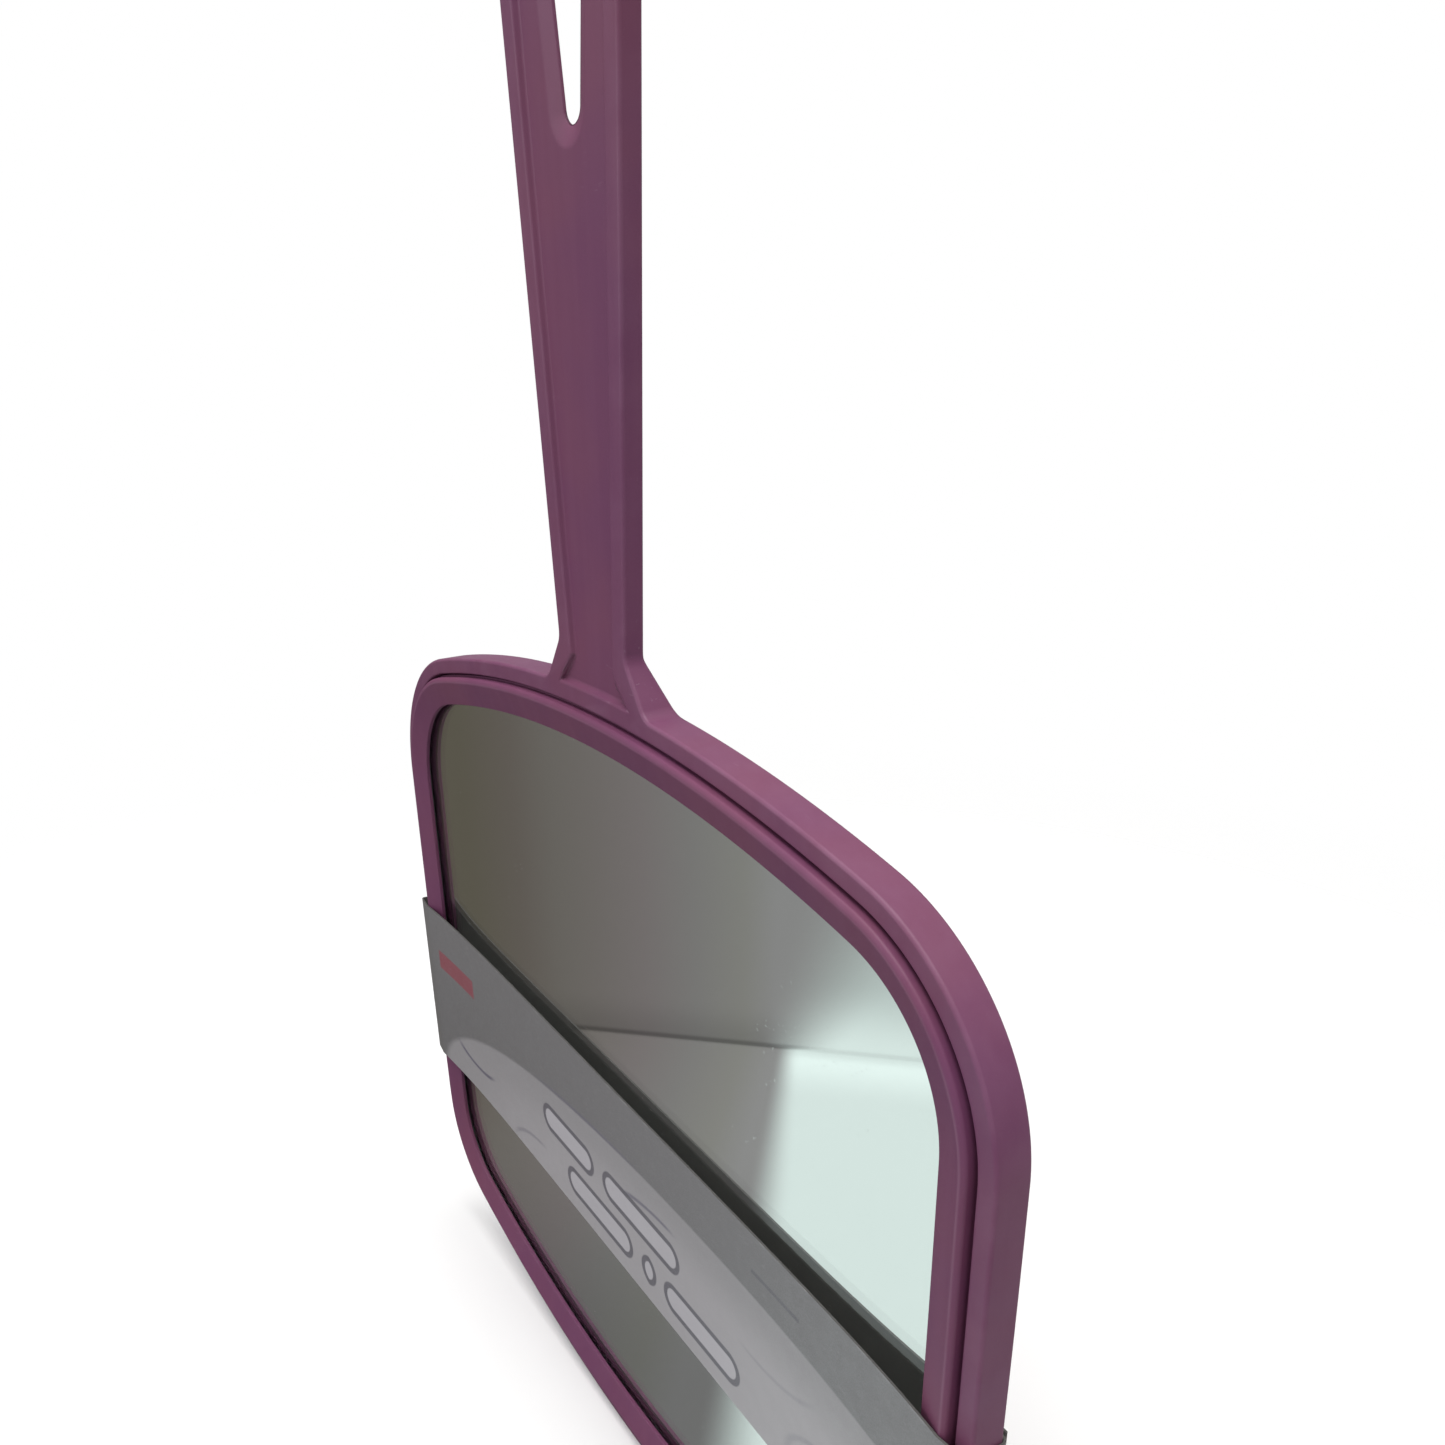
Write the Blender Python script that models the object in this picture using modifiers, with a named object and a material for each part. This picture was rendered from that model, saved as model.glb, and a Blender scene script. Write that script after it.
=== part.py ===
"""Hand mirror with a moulded frame and handle, a pressed-in ring round the glass, and a card sale sleeve.

World axes: +X is the mirror's right as seen from its front, -Y is the way the glass faces, and +Z runs up
the handle. The origin is the centre of the bottom of the bounding box, so the head's lowest point is at z = 0.

Every outline below is drawn in head coordinates: x across, z up from the head's centre, and depth measured
backwards from the rim's front face. The empty "mirror" carries them all to their place in the world.
"""

import math

import bmesh
import bpy
from mathutils import Matrix, Vector
from mathutils.geometry import intersect_sphere_sphere_2d

MM = 0.001

# Head outline: four shallow arcs joined by corner arcs.
HEAD_HALF_WIDTH = 80.0 * MM
HEAD_HALF_HEIGHT = 72.0 * MM
SIDE_ARC_RADIUS = 3000.0 * MM
UPPER_ARC_RADIUS = 246.0 * MM
UPPER_CORNER_RADIUS = 28.5 * MM
LOWER_ARC_RADIUS = 195.0 * MM
LOWER_CORNER_RADIUS = 24.0 * MM
END_ARC_STEPS = 8
CORNER_STEPS = 11
SIDE_STEPS = 5

# Frame depths, counted back from the rim's front face.
HEAD_DEPTH = 5.4 * MM
HANDLE_DEPTH = 3.2 * MM
FLOOR_DEPTH = 3.9 * MM
RIM_WIDTH = 2.7 * MM
EDGE_ROUNDING = 0.35 * MM
EDGE_ROUNDING_SEGMENTS = 2
EDGE_ROUNDING_ANGLE = 35.0

# Neck and handle.
FLARE_RISE = 6.5 * MM
FLARE_HALF_WIDTH = 14.0 * MM
NECK_HALF_WIDTH = 9.4 * MM
HANDLE_TAPER = 0.065
HANDLE_END_RADIUS = 16.0 * MM
HANDLE_END_STEPS = 20
RAMP_FOOT_DROP = 0.6 * MM
NECK_FILLET_RADIUS = 3.0 * MM
NECK_FILLET_STEPS = 4

# Recessed panels in the handle's front and back, between its two ribs.
RIB_WIDTH = 3.2 * MM
PANEL_DEPTH = 0.8 * MM
BACK_PANEL_DEPTH = 0.5 * MM
PANEL_FLARE_RISE = 4.5 * MM
PANEL_FLARE_HALF_WIDTH = 10.0 * MM
PANEL_DRAFT = 0.6 * MM
PANEL_FOOT_STEPS = 6

# Hanging slot through the handle: two circles joined by their outer tangents.
SLOT_LOWER_RADIUS = 2.0 * MM
SLOT_UPPER_RADIUS = 6.8 * MM
SLOT_BOTTOM_ABOVE_HEAD = 69.2 * MM
SLOT_MOUTH_WIDTH = 2.4 * MM
SLOT_MOUTH_DEPTH = 0.8 * MM
SLOT_STEPS = 12

# Glass and the foam pads behind it.
GLASS_INSET = 5.0 * MM
GLASS_FRONT_DEPTH = 1.2 * MM
GLASS_THICKNESS = 1.8 * MM
GLASS_SEAM = 0.2 * MM
GLASS_SEAM_ANGLE = 60.0
PAD_WIDTH = 25.0 * MM
PAD_HEIGHT = 15.0 * MM
PAD_THICKNESS = 0.7 * MM
PAD_X = 42.0 * MM
PAD_Z = 34.0 * MM
PAD_CORNER = 1.0 * MM
PAD_CORNER_STEPS = 3

# Ring that holds the glass, as offsets inward from the rim's outer edge and depths.
RING_SKIRT_OUTER = 3.0 * MM
RING_SKIRT_INNER = 4.7 * MM
RING_WALL = 3.3 * MM
RING_SHOULDER_DEPTH = 1.7 * MM
RING_CREST = 4.0 * MM
RING_CREST_RISE = 1.2 * MM
RING_CREST_ROUNDING = 0.4 * MM
RING_CREST_INNER_DROP = 0.1 * MM
RING_CREST_OUTER_DROP = 0.13 * MM
RING_LIP = 8.3 * MM
RING_LIP_THICKNESS = 0.7 * MM
RING_GLASS_GAP = 0.3 * MM
RING_FOOT_DEPTH = 3.6 * MM

# Card sleeve round the head: its front panel runs straight from crest to crest of the ring, clear of the
# whole ring and handle as it is pulled off, and it sits slightly askew, its right end lower than its left.
CARD_THICKNESS = 0.4 * MM
SLEEVE_TOP = 5.4 * MM
SLEEVE_HEIGHT = 36.4 * MM
SLEEVE_SKEW = -0.037
SLEEVE_LEAN = -0.22
SLEEVE_SIDE_GAP = 0.3 * MM
SLEEVE_CREST_GAP = 0.3 * MM
SLEEVE_FOLD_RADIUS = 1.0 * MM
SLEEVE_FOLD_STEPS = 4
SLEEVE_FRONT_FOLD_ANGLE = math.radians(79.0)
SLEEVE_BACK_GAP = 0.3 * MM
SLEEVE_TAB_LENGTH = 14.0 * MM
GLUE_THICKNESS = 0.2 * MM
GLUE_GAP = 0.1 * MM
GLUE_WIDTH = 9.0 * MM
GLUE_MARGIN = 3.0 * MM

# How far a cutter reaches past the surface it cuts, and how close points are merged.
CUT_MARGIN = 2.0 * MM
WELD_DISTANCE = 1e-7
EMPTY_SIZE = 0.02

SLEEVE_BACK_DEPTH = HEAD_DEPTH + SLEEVE_BACK_GAP + CARD_THICKNESS + 2 * GLUE_GAP + GLUE_THICKNESS
SLEEVE_CREST_DEPTH = -RING_CREST_RISE - SLEEVE_CREST_GAP - CARD_THICKNESS / 2
DEEPEST = SLEEVE_BACK_DEPTH + CARD_THICKNESS
FOREMOST = SLEEVE_CREST_DEPTH - CARD_THICKNESS / 2
HEAD_CENTRE = Vector((0.0, -(DEEPEST + FOREMOST) / 2, HEAD_HALF_HEIGHT))


def clear_scene():
    for old in list(bpy.data.objects):
        bpy.data.objects.remove(old, do_unlink=True)


def new_collection(name):
    collection = bpy.data.collections.new(name)
    bpy.context.scene.collection.children.link(collection)
    return collection


def new_material(name, colour, roughness, metallic=0.0):
    material = bpy.data.materials.new(name)
    material.use_nodes = True
    shader = material.node_tree.nodes["Principled BSDF"]
    shader.inputs["Base Color"].default_value = (*colour, 1.0)
    shader.inputs["Roughness"].default_value = roughness
    shader.inputs["Metallic"].default_value = metallic
    return material


# Outlines: lists of (x, z) points in head coordinates, counter-clockwise.


def arc(centre, radius, start, end, steps):
    """Points on a circle from angle start to angle end, both ends included."""
    angles = [start + (end - start) * step / steps for step in range(steps + 1)]
    return [(centre[0] + radius * math.cos(a), centre[1] + radius * math.sin(a)) for a in angles]


def fillet(before, corner, after, radius, steps):
    """An arc that rounds the corner between two straight runs, from the first run to the second."""
    here = Vector(corner)
    backward = (Vector(before) - here).normalized()
    onward = (Vector(after) - here).normalized()
    half_angle = backward.angle(onward) / 2
    centre = here + (backward + onward).normalized() * radius / math.sin(half_angle)
    reach = radius / math.tan(half_angle)
    start = math.atan2(*(here + backward * reach - centre).yx)
    end = math.atan2(*(here + onward * reach - centre).yx)
    turn = math.remainder(end - start, 2 * math.pi)
    return arc(centre, radius, start, start + turn, steps)


def mirrored_in_x(points):
    """A right-hand chain of points that starts at the bottom centre line, closed by its mirror image."""
    left = [(-x, z) for x, z in reversed(points) if x > 1e-9]
    return points + left


def head_quarter(arc_radius, corner_radius, inset):
    """A right-hand quarter of the head's outline, from the side's middle up to the centre line."""
    end_centre = Vector((0.0, HEAD_HALF_HEIGHT - arc_radius))
    side_centre = Vector((HEAD_HALF_WIDTH - SIDE_ARC_RADIUS, 0.0))
    meetings = intersect_sphere_sphere_2d(
        end_centre, arc_radius - corner_radius, side_centre, SIDE_ARC_RADIUS - corner_radius
    )
    corner_centre = max(meetings, key=lambda point: point.x + point.y)
    corner_start = math.atan2(*(corner_centre - side_centre).yx)
    corner_end = math.atan2(*(corner_centre - end_centre).yx)
    side = arc(side_centre, SIDE_ARC_RADIUS - inset, 0.0, corner_start, SIDE_STEPS)
    corner = arc(corner_centre, corner_radius - inset, corner_start, corner_end, CORNER_STEPS)
    end = arc(end_centre, arc_radius - inset, corner_end, math.pi / 2, END_ARC_STEPS)
    return side[:-1] + corner + on_centre_line(end[1:])


def on_centre_line(points):
    """The points, with the last one moved exactly onto x = 0."""
    return points[:-1] + [(0.0, points[-1][1])]


def head_outline(inset=0.0):
    """The head's outline, moved inward by inset."""
    upper = head_quarter(UPPER_ARC_RADIUS, UPPER_CORNER_RADIUS, inset)
    lower = head_quarter(LOWER_ARC_RADIUS, LOWER_CORNER_RADIUS, inset)
    lower_from_bottom = [(x, -z) for x, z in reversed(lower)]
    return mirrored_in_x(lower_from_bottom + upper[1:])


def head_top(x):
    """Height of the head's top arc at x."""
    return HEAD_HALF_HEIGHT - UPPER_ARC_RADIUS + math.sqrt(UPPER_ARC_RADIUS**2 - x**2)


def handle_end_centre():
    """Height of the centre of the handle's round end, which meets the tapered sides smoothly."""
    slant = math.sqrt(1 + HANDLE_TAPER**2)
    run = (HANDLE_END_RADIUS * slant - NECK_HALF_WIDTH) / HANDLE_TAPER
    return HEAD_HALF_HEIGHT + FLARE_RISE + run


def handle_end_arc(inset):
    """Right half of the handle's round end, from its side up to the centre line."""
    start = -math.atan(HANDLE_TAPER)
    centre = (0.0, handle_end_centre())
    return on_centre_line(arc(centre, HANDLE_END_RADIUS - inset, start, math.pi / 2, HANDLE_END_STEPS))


def is_under_neck(point):
    return point[1] > 0 and abs(point[0]) < FLARE_HALF_WIDTH + CUT_MARGIN


def frame_outline():
    """Head, flared neck and handle in one outline, with fillets at both ends of the flare."""
    right_of_head = [point for point in head_outline() if point[0] >= 0 and not is_under_neck(point)]
    foot = (FLARE_HALF_WIDTH, head_top(FLARE_HALF_WIDTH))
    neck = (NECK_HALF_WIDTH, HEAD_HALF_HEIGHT + FLARE_RISE)
    handle = handle_end_arc(0.0)
    fillets = fillet(right_of_head[-1], foot, neck, NECK_FILLET_RADIUS, NECK_FILLET_STEPS)
    fillets += fillet(foot, neck, handle[0], NECK_FILLET_RADIUS, NECK_FILLET_STEPS)
    return mirrored_in_x(right_of_head + fillets + handle)


def panel_outline(widening=0.0):
    """The recessed panel between the handle's ribs, with its foot on the line of the head's top arc."""
    foot_half_width = PANEL_FLARE_HALF_WIDTH + widening
    foot = []
    for step in range(PANEL_FOOT_STEPS + 1):
        x = foot_half_width * step / PANEL_FOOT_STEPS
        foot.append((x, head_top(x) - widening))
    flare_height = HEAD_HALF_HEIGHT + PANEL_FLARE_RISE
    neck_half_width = NECK_HALF_WIDTH - RIB_WIDTH + widening
    neck = [(neck_half_width + HANDLE_TAPER * (PANEL_FLARE_RISE - FLARE_RISE), flare_height)]
    return mirrored_in_x(foot + neck + handle_end_arc(RIB_WIDTH - widening))


def slot_outline(widening=0.0):
    """The hanging slot: a small circle below, a large one above, and their outer tangents."""
    lower_centre = HEAD_HALF_HEIGHT + SLOT_BOTTOM_ABOVE_HEAD + SLOT_LOWER_RADIUS
    upper_centre = handle_end_centre()
    spread = math.asin((SLOT_UPPER_RADIUS - SLOT_LOWER_RADIUS) / (upper_centre - lower_centre))
    lower = arc((0.0, lower_centre), SLOT_LOWER_RADIUS + widening, -spread, -math.pi / 2, SLOT_STEPS)
    upper = arc((0.0, upper_centre), SLOT_UPPER_RADIUS + widening, -spread, math.pi / 2, SLOT_STEPS)
    return mirrored_in_x(on_centre_line(lower)[::-1] + on_centre_line(upper))


def rectangle_outline(centre, width, height, corner):
    """A rectangle with rounded corners."""
    points = []
    for turn, (side_x, side_z) in enumerate(((1, -1), (1, 1), (-1, 1), (-1, -1))):
        corner_centre = (
            centre[0] + side_x * (width / 2 - corner),
            centre[1] + side_z * (height / 2 - corner),
        )
        start = (turn - 1) * math.pi / 2
        points += arc(corner_centre, corner, start, start + math.pi / 2, PAD_CORNER_STEPS)
    return points


# Solids.


def place(thing, collection, parent, material=None):
    collection.objects.link(thing)
    thing.parent = parent
    if material is not None:
        thing.data.materials.append(material)
    return thing


def poly_curve(name, points, closed=True):
    """A flat curve through the points, in its own XY plane."""
    data = bpy.data.curves.new(name, "CURVE")
    data.dimensions = "2D"
    spline = data.splines.new("POLY")
    spline.points.add(len(points) - 1)
    for spline_point, (x, y) in zip(spline.points, points):
        spline_point.co = (x, y, 0.0, 1.0)
    spline.use_cyclic_u = closed
    return data


def mesh_from_curve(curve_data, name):
    """The welded mesh of a curve, in the curve's own axes."""
    curve = bpy.data.objects.new(name + "_curve", curve_data)
    bpy.context.scene.collection.objects.link(curve)
    bpy.context.view_layer.update()
    evaluated = curve.evaluated_get(bpy.context.evaluated_depsgraph_get())
    mesh = bpy.data.meshes.new_from_object(evaluated)
    mesh.name = name
    weld = bmesh.new()
    weld.from_mesh(mesh)
    bmesh.ops.remove_doubles(weld, verts=weld.verts, dist=WELD_DISTANCE)
    bmesh.ops.recalc_face_normals(weld, faces=weld.faces)
    weld.to_mesh(mesh)
    weld.free()
    bpy.data.objects.remove(curve, do_unlink=True)
    return mesh


def slab(name, points, front, back, collection, parent, material=None):
    """A closed mesh with the given outline, between two depths."""
    outline = poly_curve(name, points)
    outline.fill_mode = "BOTH"
    outline.extrude = (back - front) / 2
    solid = bpy.data.objects.new(name, mesh_from_curve(outline, name))
    solid.rotation_euler.x = math.pi / 2
    solid.location.y = (front + back) / 2
    return place(solid, collection, parent, material)


def drafted_slab(name, front_points, back_points, front, back, collection, parent):
    """A closed mesh whose outline changes evenly from one depth to the other."""
    builder = bmesh.new()
    loops = []
    for points, depth in ((front_points, front), (back_points, back)):
        verts = [builder.verts.new((x, depth, z)) for x, z in points]
        loops.append(builder.faces.new(verts))
    edges = [edge for face in loops for edge in face.edges]
    bmesh.ops.bridge_loops(builder, edges=edges)
    bmesh.ops.recalc_face_normals(builder, faces=builder.faces)
    mesh = bpy.data.meshes.new(name)
    builder.to_mesh(mesh)
    builder.free()
    return place(bpy.data.objects.new(name, mesh), collection, parent)


def as_cutter(cutter):
    cutter.hide_render = True
    cutter.display_type = "WIRE"
    return cutter


def cut(solid, cutter):
    modifier = solid.modifiers.new("cut " + cutter.name, "BOOLEAN")
    modifier.operation = "DIFFERENCE"
    modifier.solver = "EXACT"
    modifier.object = as_cutter(cutter)


def round_edges(solid, width, segments, angle):
    modifier = solid.modifiers.new("rounded edges", "BEVEL")
    modifier.width = width
    modifier.segments = segments
    modifier.limit_method = "ANGLE"
    modifier.angle_limit = math.radians(angle)
    modifier.harden_normals = False


# The pieces.


def back_ramp_cutter(cutters, mirror):
    """Takes the handle's back down to its own depth, with a ramp across the flared neck."""
    foot = HEAD_HALF_HEIGHT - RAMP_FOOT_DROP
    top = HEAD_HALF_HEIGHT + FLARE_RISE
    end = handle_end_centre() + HANDLE_END_RADIUS + CUT_MARGIN
    behind = HEAD_DEPTH + CUT_MARGIN
    profile = [(foot, behind), (foot, HEAD_DEPTH), (top, HANDLE_DEPTH), (end, HANDLE_DEPTH), (end, behind)]
    builder = bmesh.new()
    half_width = HANDLE_END_RADIUS + CUT_MARGIN
    side = builder.faces.new([builder.verts.new((-half_width, depth, z)) for z, depth in profile])
    swept = bmesh.ops.extrude_face_region(builder, geom=[side])
    moved = [item for item in swept["geom"] if isinstance(item, bmesh.types.BMVert)]
    bmesh.ops.translate(builder, verts=moved, vec=(2 * half_width, 0.0, 0.0))
    bmesh.ops.recalc_face_normals(builder, faces=builder.faces)
    mesh = bpy.data.meshes.new("back_ramp_cutter")
    builder.to_mesh(mesh)
    builder.free()
    return place(bpy.data.objects.new("back_ramp_cutter", mesh), cutters, mirror)


def drafted_panel_cutter(name, surface, floor, cutters, mirror):
    """A panel cutter whose walls lean outward from the floor to past the surface."""
    reach = surface + math.copysign(CUT_MARGIN, surface - floor)
    lean = PANEL_DRAFT * abs(reach - floor) / abs(surface - floor)
    return drafted_slab(name, panel_outline(lean - PANEL_DRAFT), panel_outline(-PANEL_DRAFT),
                        reach, floor, cutters, mirror)


def slot_mouth_cutter(name, surface, inward, cutters, mirror):
    """The sloping mouth round one end of the hanging slot; inward is +1 at the front, -1 at the back."""
    slope = SLOT_MOUTH_WIDTH / SLOT_MOUTH_DEPTH
    reach = surface - inward * CUT_MARGIN
    floor = surface + inward * SLOT_MOUTH_DEPTH
    wide = SLOT_MOUTH_WIDTH + slope * CUT_MARGIN
    return drafted_slab(name, slot_outline(wide), slot_outline(0.0), reach, floor, cutters, mirror)


def handle_frame(parts, cutters, mirror, material):
    """The one-piece moulding: handle, neck, rim and the head's back."""
    frame = slab("handle_frame", frame_outline(), 0.0, HEAD_DEPTH, parts, mirror, material)
    cut(frame, back_ramp_cutter(cutters, mirror))
    pocket = slab("pocket_cutter", head_outline(RIM_WIDTH), -CUT_MARGIN, FLOOR_DEPTH, cutters, mirror)
    cut(frame, pocket)
    cut(frame, drafted_panel_cutter("front_panel_cutter", 0.0, PANEL_DEPTH, cutters, mirror))
    back_floor = HANDLE_DEPTH - BACK_PANEL_DEPTH
    cut(frame, drafted_panel_cutter("back_panel_cutter", HANDLE_DEPTH, back_floor, cutters, mirror))
    slot = slab("slot_cutter", slot_outline(), -CUT_MARGIN, HANDLE_DEPTH + CUT_MARGIN, cutters, mirror)
    cut(frame, slot)
    cut(frame, slot_mouth_cutter("front_mouth_cutter", PANEL_DEPTH, 1, cutters, mirror))
    cut(frame, slot_mouth_cutter("back_mouth_cutter", back_floor, -1, cutters, mirror))
    round_edges(frame, EDGE_ROUNDING, EDGE_ROUNDING_SEGMENTS, EDGE_ROUNDING_ANGLE)
    return frame


def ring_profile():
    """Section of the ring: x is the inset from the rim's outer edge, y is forward from the rim's face."""
    underside = -(GLASS_FRONT_DEPTH - RING_GLASS_GAP)
    crest = RING_CREST_RISE
    return [
        (RING_SKIRT_OUTER, -RING_FOOT_DEPTH),
        (RING_SKIRT_INNER, -RING_FOOT_DEPTH),
        (RING_SKIRT_INNER, underside),
        (RING_LIP, underside),
        (RING_LIP, underside + RING_LIP_THICKNESS),
        (RING_CREST + RING_CREST_ROUNDING, crest - RING_CREST_INNER_DROP),
        (RING_CREST, crest),
        (RING_CREST - RING_CREST_ROUNDING, crest - RING_CREST_OUTER_DROP),
        (RING_WALL, crest - RING_CREST_ROUNDING),
        (RING_WALL, RING_CREST_ROUNDING - RING_SHOULDER_DEPTH),
        (RING_SKIRT_OUTER, -RING_SHOULDER_DEPTH),
    ]


def bezel_ring(parts, guides, mirror, material):
    """The ring that is pressed into the rim and holds the glass under its lip: its section swept round."""
    section = [(inset - RING_WALL, forward) for inset, forward in ring_profile()]
    guide = bpy.data.objects.new("ring_section", poly_curve("ring_section", section[::-1]))
    place(as_cutter(guide), guides, mirror)
    path = poly_curve("bezel_ring", head_outline(RING_WALL))
    path.bevel_mode = "OBJECT"
    path.bevel_object = guide
    ring = bpy.data.objects.new("bezel_ring", path)
    ring.rotation_euler.x = math.pi / 2
    return place(ring, parts, mirror, material)


def mirror_glass(parts, mirror, material):
    """The silvered pane."""
    back = GLASS_FRONT_DEPTH + GLASS_THICKNESS
    glass = slab("mirror_glass", head_outline(GLASS_INSET), GLASS_FRONT_DEPTH, back, parts, mirror, material)
    round_edges(glass, GLASS_SEAM, 1, GLASS_SEAM_ANGLE)
    return glass


def foam_pads(parts, mirror, material):
    """Four double-sided foam tape pads between the glass and the frame's floor."""
    room = FLOOR_DEPTH - GLASS_FRONT_DEPTH - GLASS_THICKNESS
    front = FLOOR_DEPTH - (room + PAD_THICKNESS) / 2
    for height, z in (("upper", PAD_Z), ("lower", -PAD_Z)):
        for side, x in (("left", -PAD_X), ("right", PAD_X)):
            outline = rectangle_outline((x, z), PAD_WIDTH, PAD_HEIGHT, PAD_CORNER)
            name = f"foam_pad_{height}_{side}"
            slab(name, outline, front, front + PAD_THICKNESS, parts, mirror, material)


def sleeve_path():
    """Middle of the card, seen from above, as (x, depth): tab, right side, front, left side, back."""
    fold = SLEEVE_FOLD_RADIUS
    turn = HEAD_HALF_WIDTH + SLEEVE_SIDE_GAP + CARD_THICKNESS / 2 - fold
    crest = HEAD_HALF_WIDTH - RING_CREST
    tab_depth = HEAD_DEPTH + SLEEVE_BACK_GAP + CARD_THICKNESS / 2
    back_depth = SLEEVE_BACK_DEPTH + CARD_THICKNESS / 2
    quarter = math.pi / 2
    path = [(HEAD_HALF_WIDTH - SLEEVE_TAB_LENGTH, tab_depth)]
    path += arc((turn, tab_depth - fold), fold, quarter, 0.0, SLEEVE_FOLD_STEPS)
    path += arc((turn, 0.0), fold, 0.0, -SLEEVE_FRONT_FOLD_ANGLE, SLEEVE_FOLD_STEPS)
    path += [(crest, SLEEVE_CREST_DEPTH), (-crest, SLEEVE_CREST_DEPTH)]
    path += arc((-turn, 0.0), fold, SLEEVE_FRONT_FOLD_ANGLE - 2 * quarter, -2 * quarter, SLEEVE_FOLD_STEPS)
    path += arc((-turn, back_depth - fold), fold, 2 * quarter, quarter, SLEEVE_FOLD_STEPS)
    path.append((turn, back_depth))
    return path


def retail_sleeve(parts, sleeve, material):
    """The card sleeve: one strip folded round the head, its last panel lying over its first tab."""
    strip = poly_curve("sleeve_strip", sleeve_path(), closed=False)
    strip.extrude = SLEEVE_HEIGHT / 2
    mesh = mesh_from_curve(strip, "retail_sleeve")
    skew = Matrix.Identity(4)
    skew[2][0] = SLEEVE_SKEW
    skew[2][1] = SLEEVE_LEAN
    mesh.transform(skew)
    card = bpy.data.objects.new("retail_sleeve", mesh)
    thickness = card.modifiers.new("card thickness", "SOLIDIFY")
    thickness.thickness = CARD_THICKNESS
    thickness.offset = 0.0
    thickness.use_even_offset = True
    return place(card, parts, sleeve, material)


def sleeve_glue_strip(parts, sleeve, material):
    """The glue between the sleeve's tab and its back panel."""
    strip = bmesh.new()
    bmesh.ops.create_cube(strip, size=1.0)
    size = (GLUE_WIDTH, GLUE_THICKNESS, SLEEVE_HEIGHT - 2 * GLUE_MARGIN)
    bmesh.ops.scale(strip, vec=size, verts=strip.verts)
    mesh = bpy.data.meshes.new("sleeve_glue_strip")
    strip.to_mesh(mesh)
    strip.free()
    glue = bpy.data.objects.new("sleeve_glue_strip", mesh)
    glue.location.x = HEAD_HALF_WIDTH - SLEEVE_TAB_LENGTH / 2
    glue.location.y = SLEEVE_BACK_DEPTH - GLUE_GAP - GLUE_THICKNESS / 2
    glue.location.z = SLEEVE_SKEW * glue.location.x + SLEEVE_LEAN * glue.location.y
    return place(glue, parts, sleeve, material)


def new_empty(name, collection, parent=None):
    empty = bpy.data.objects.new(name, None)
    empty.empty_display_size = EMPTY_SIZE
    return place(empty, collection, parent)


def main():
    clear_scene()
    parts = new_collection("hand_mirror")
    cutters = new_collection("cutters")
    mirror = new_empty("mirror", parts)
    mirror.location = HEAD_CENTRE
    sleeve = new_empty("sleeve_slide", parts, mirror)
    sleeve.location.z = SLEEVE_TOP - SLEEVE_HEIGHT / 2
    plum = new_material("plum_plastic", (0.155, 0.062, 0.115), 0.42)
    handle_frame(parts, cutters, mirror, plum)
    bezel_ring(parts, cutters, mirror, plum)
    mirror_glass(parts, mirror, new_material("silvered_glass", (0.86, 0.88, 0.87), 0.03, 1.0))
    foam_pads(parts, mirror, new_material("white_foam", (0.8, 0.8, 0.78), 0.9))
    retail_sleeve(parts, sleeve, new_material("printed_card", (0.2, 0.2, 0.21), 0.5))
    sleeve_glue_strip(parts, sleeve, new_material("clear_glue", (0.7, 0.66, 0.55), 0.35))


main()
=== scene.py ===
"""Looks of the hand mirror: moulded frame and ring, silvered pane, printed sleeve, floor, light and camera.

Shapes are drawn in head coordinates: x across, z up from the head's centre, and depth measured backwards
from the rim's front face. at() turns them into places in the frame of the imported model.
"""

import functools
import math

import bmesh
import bpy
from mathutils import Matrix, Vector
from mathutils.geometry import intersect_sphere_sphere_2d


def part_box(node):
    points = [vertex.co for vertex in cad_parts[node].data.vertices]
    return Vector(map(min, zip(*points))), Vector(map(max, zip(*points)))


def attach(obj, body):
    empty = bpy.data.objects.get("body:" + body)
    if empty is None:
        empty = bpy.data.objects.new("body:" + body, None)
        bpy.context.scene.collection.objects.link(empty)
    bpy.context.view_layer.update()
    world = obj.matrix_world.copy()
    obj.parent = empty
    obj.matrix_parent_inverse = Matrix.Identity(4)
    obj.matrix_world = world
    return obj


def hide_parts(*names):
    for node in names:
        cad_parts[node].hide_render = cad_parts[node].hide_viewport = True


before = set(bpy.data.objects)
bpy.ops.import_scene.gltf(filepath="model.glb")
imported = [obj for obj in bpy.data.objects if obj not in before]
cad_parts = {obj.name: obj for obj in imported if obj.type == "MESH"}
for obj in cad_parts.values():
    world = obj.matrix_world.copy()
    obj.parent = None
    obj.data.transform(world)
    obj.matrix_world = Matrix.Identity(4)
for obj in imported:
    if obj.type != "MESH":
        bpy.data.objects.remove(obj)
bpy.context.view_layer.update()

MM = 0.001

# Head outline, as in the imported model.
HEAD_HALF_HEIGHT = 72.0 * MM
SIDE_ARC_RADIUS = 3000.0 * MM
UPPER_ARC_RADIUS = 246.0 * MM
UPPER_CORNER_RADIUS = 28.5 * MM
LOWER_ARC_RADIUS = 195.0 * MM
LOWER_CORNER_RADIUS = 24.0 * MM
END_ARC_STEPS = 30
CORNER_STEPS = 40
SIDE_STEPS = 16

FRAME_LOW, FRAME_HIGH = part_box("handle_frame")
HEAD_HALF_WIDTH = (FRAME_HIGH.x - FRAME_LOW.x) / 2
HEAD_DEPTH = FRAME_HIGH.y - FRAME_LOW.y
HEAD_CENTRE = Vector((0.0, FRAME_LOW.y, FRAME_LOW.z + HEAD_HALF_HEIGHT))

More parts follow.
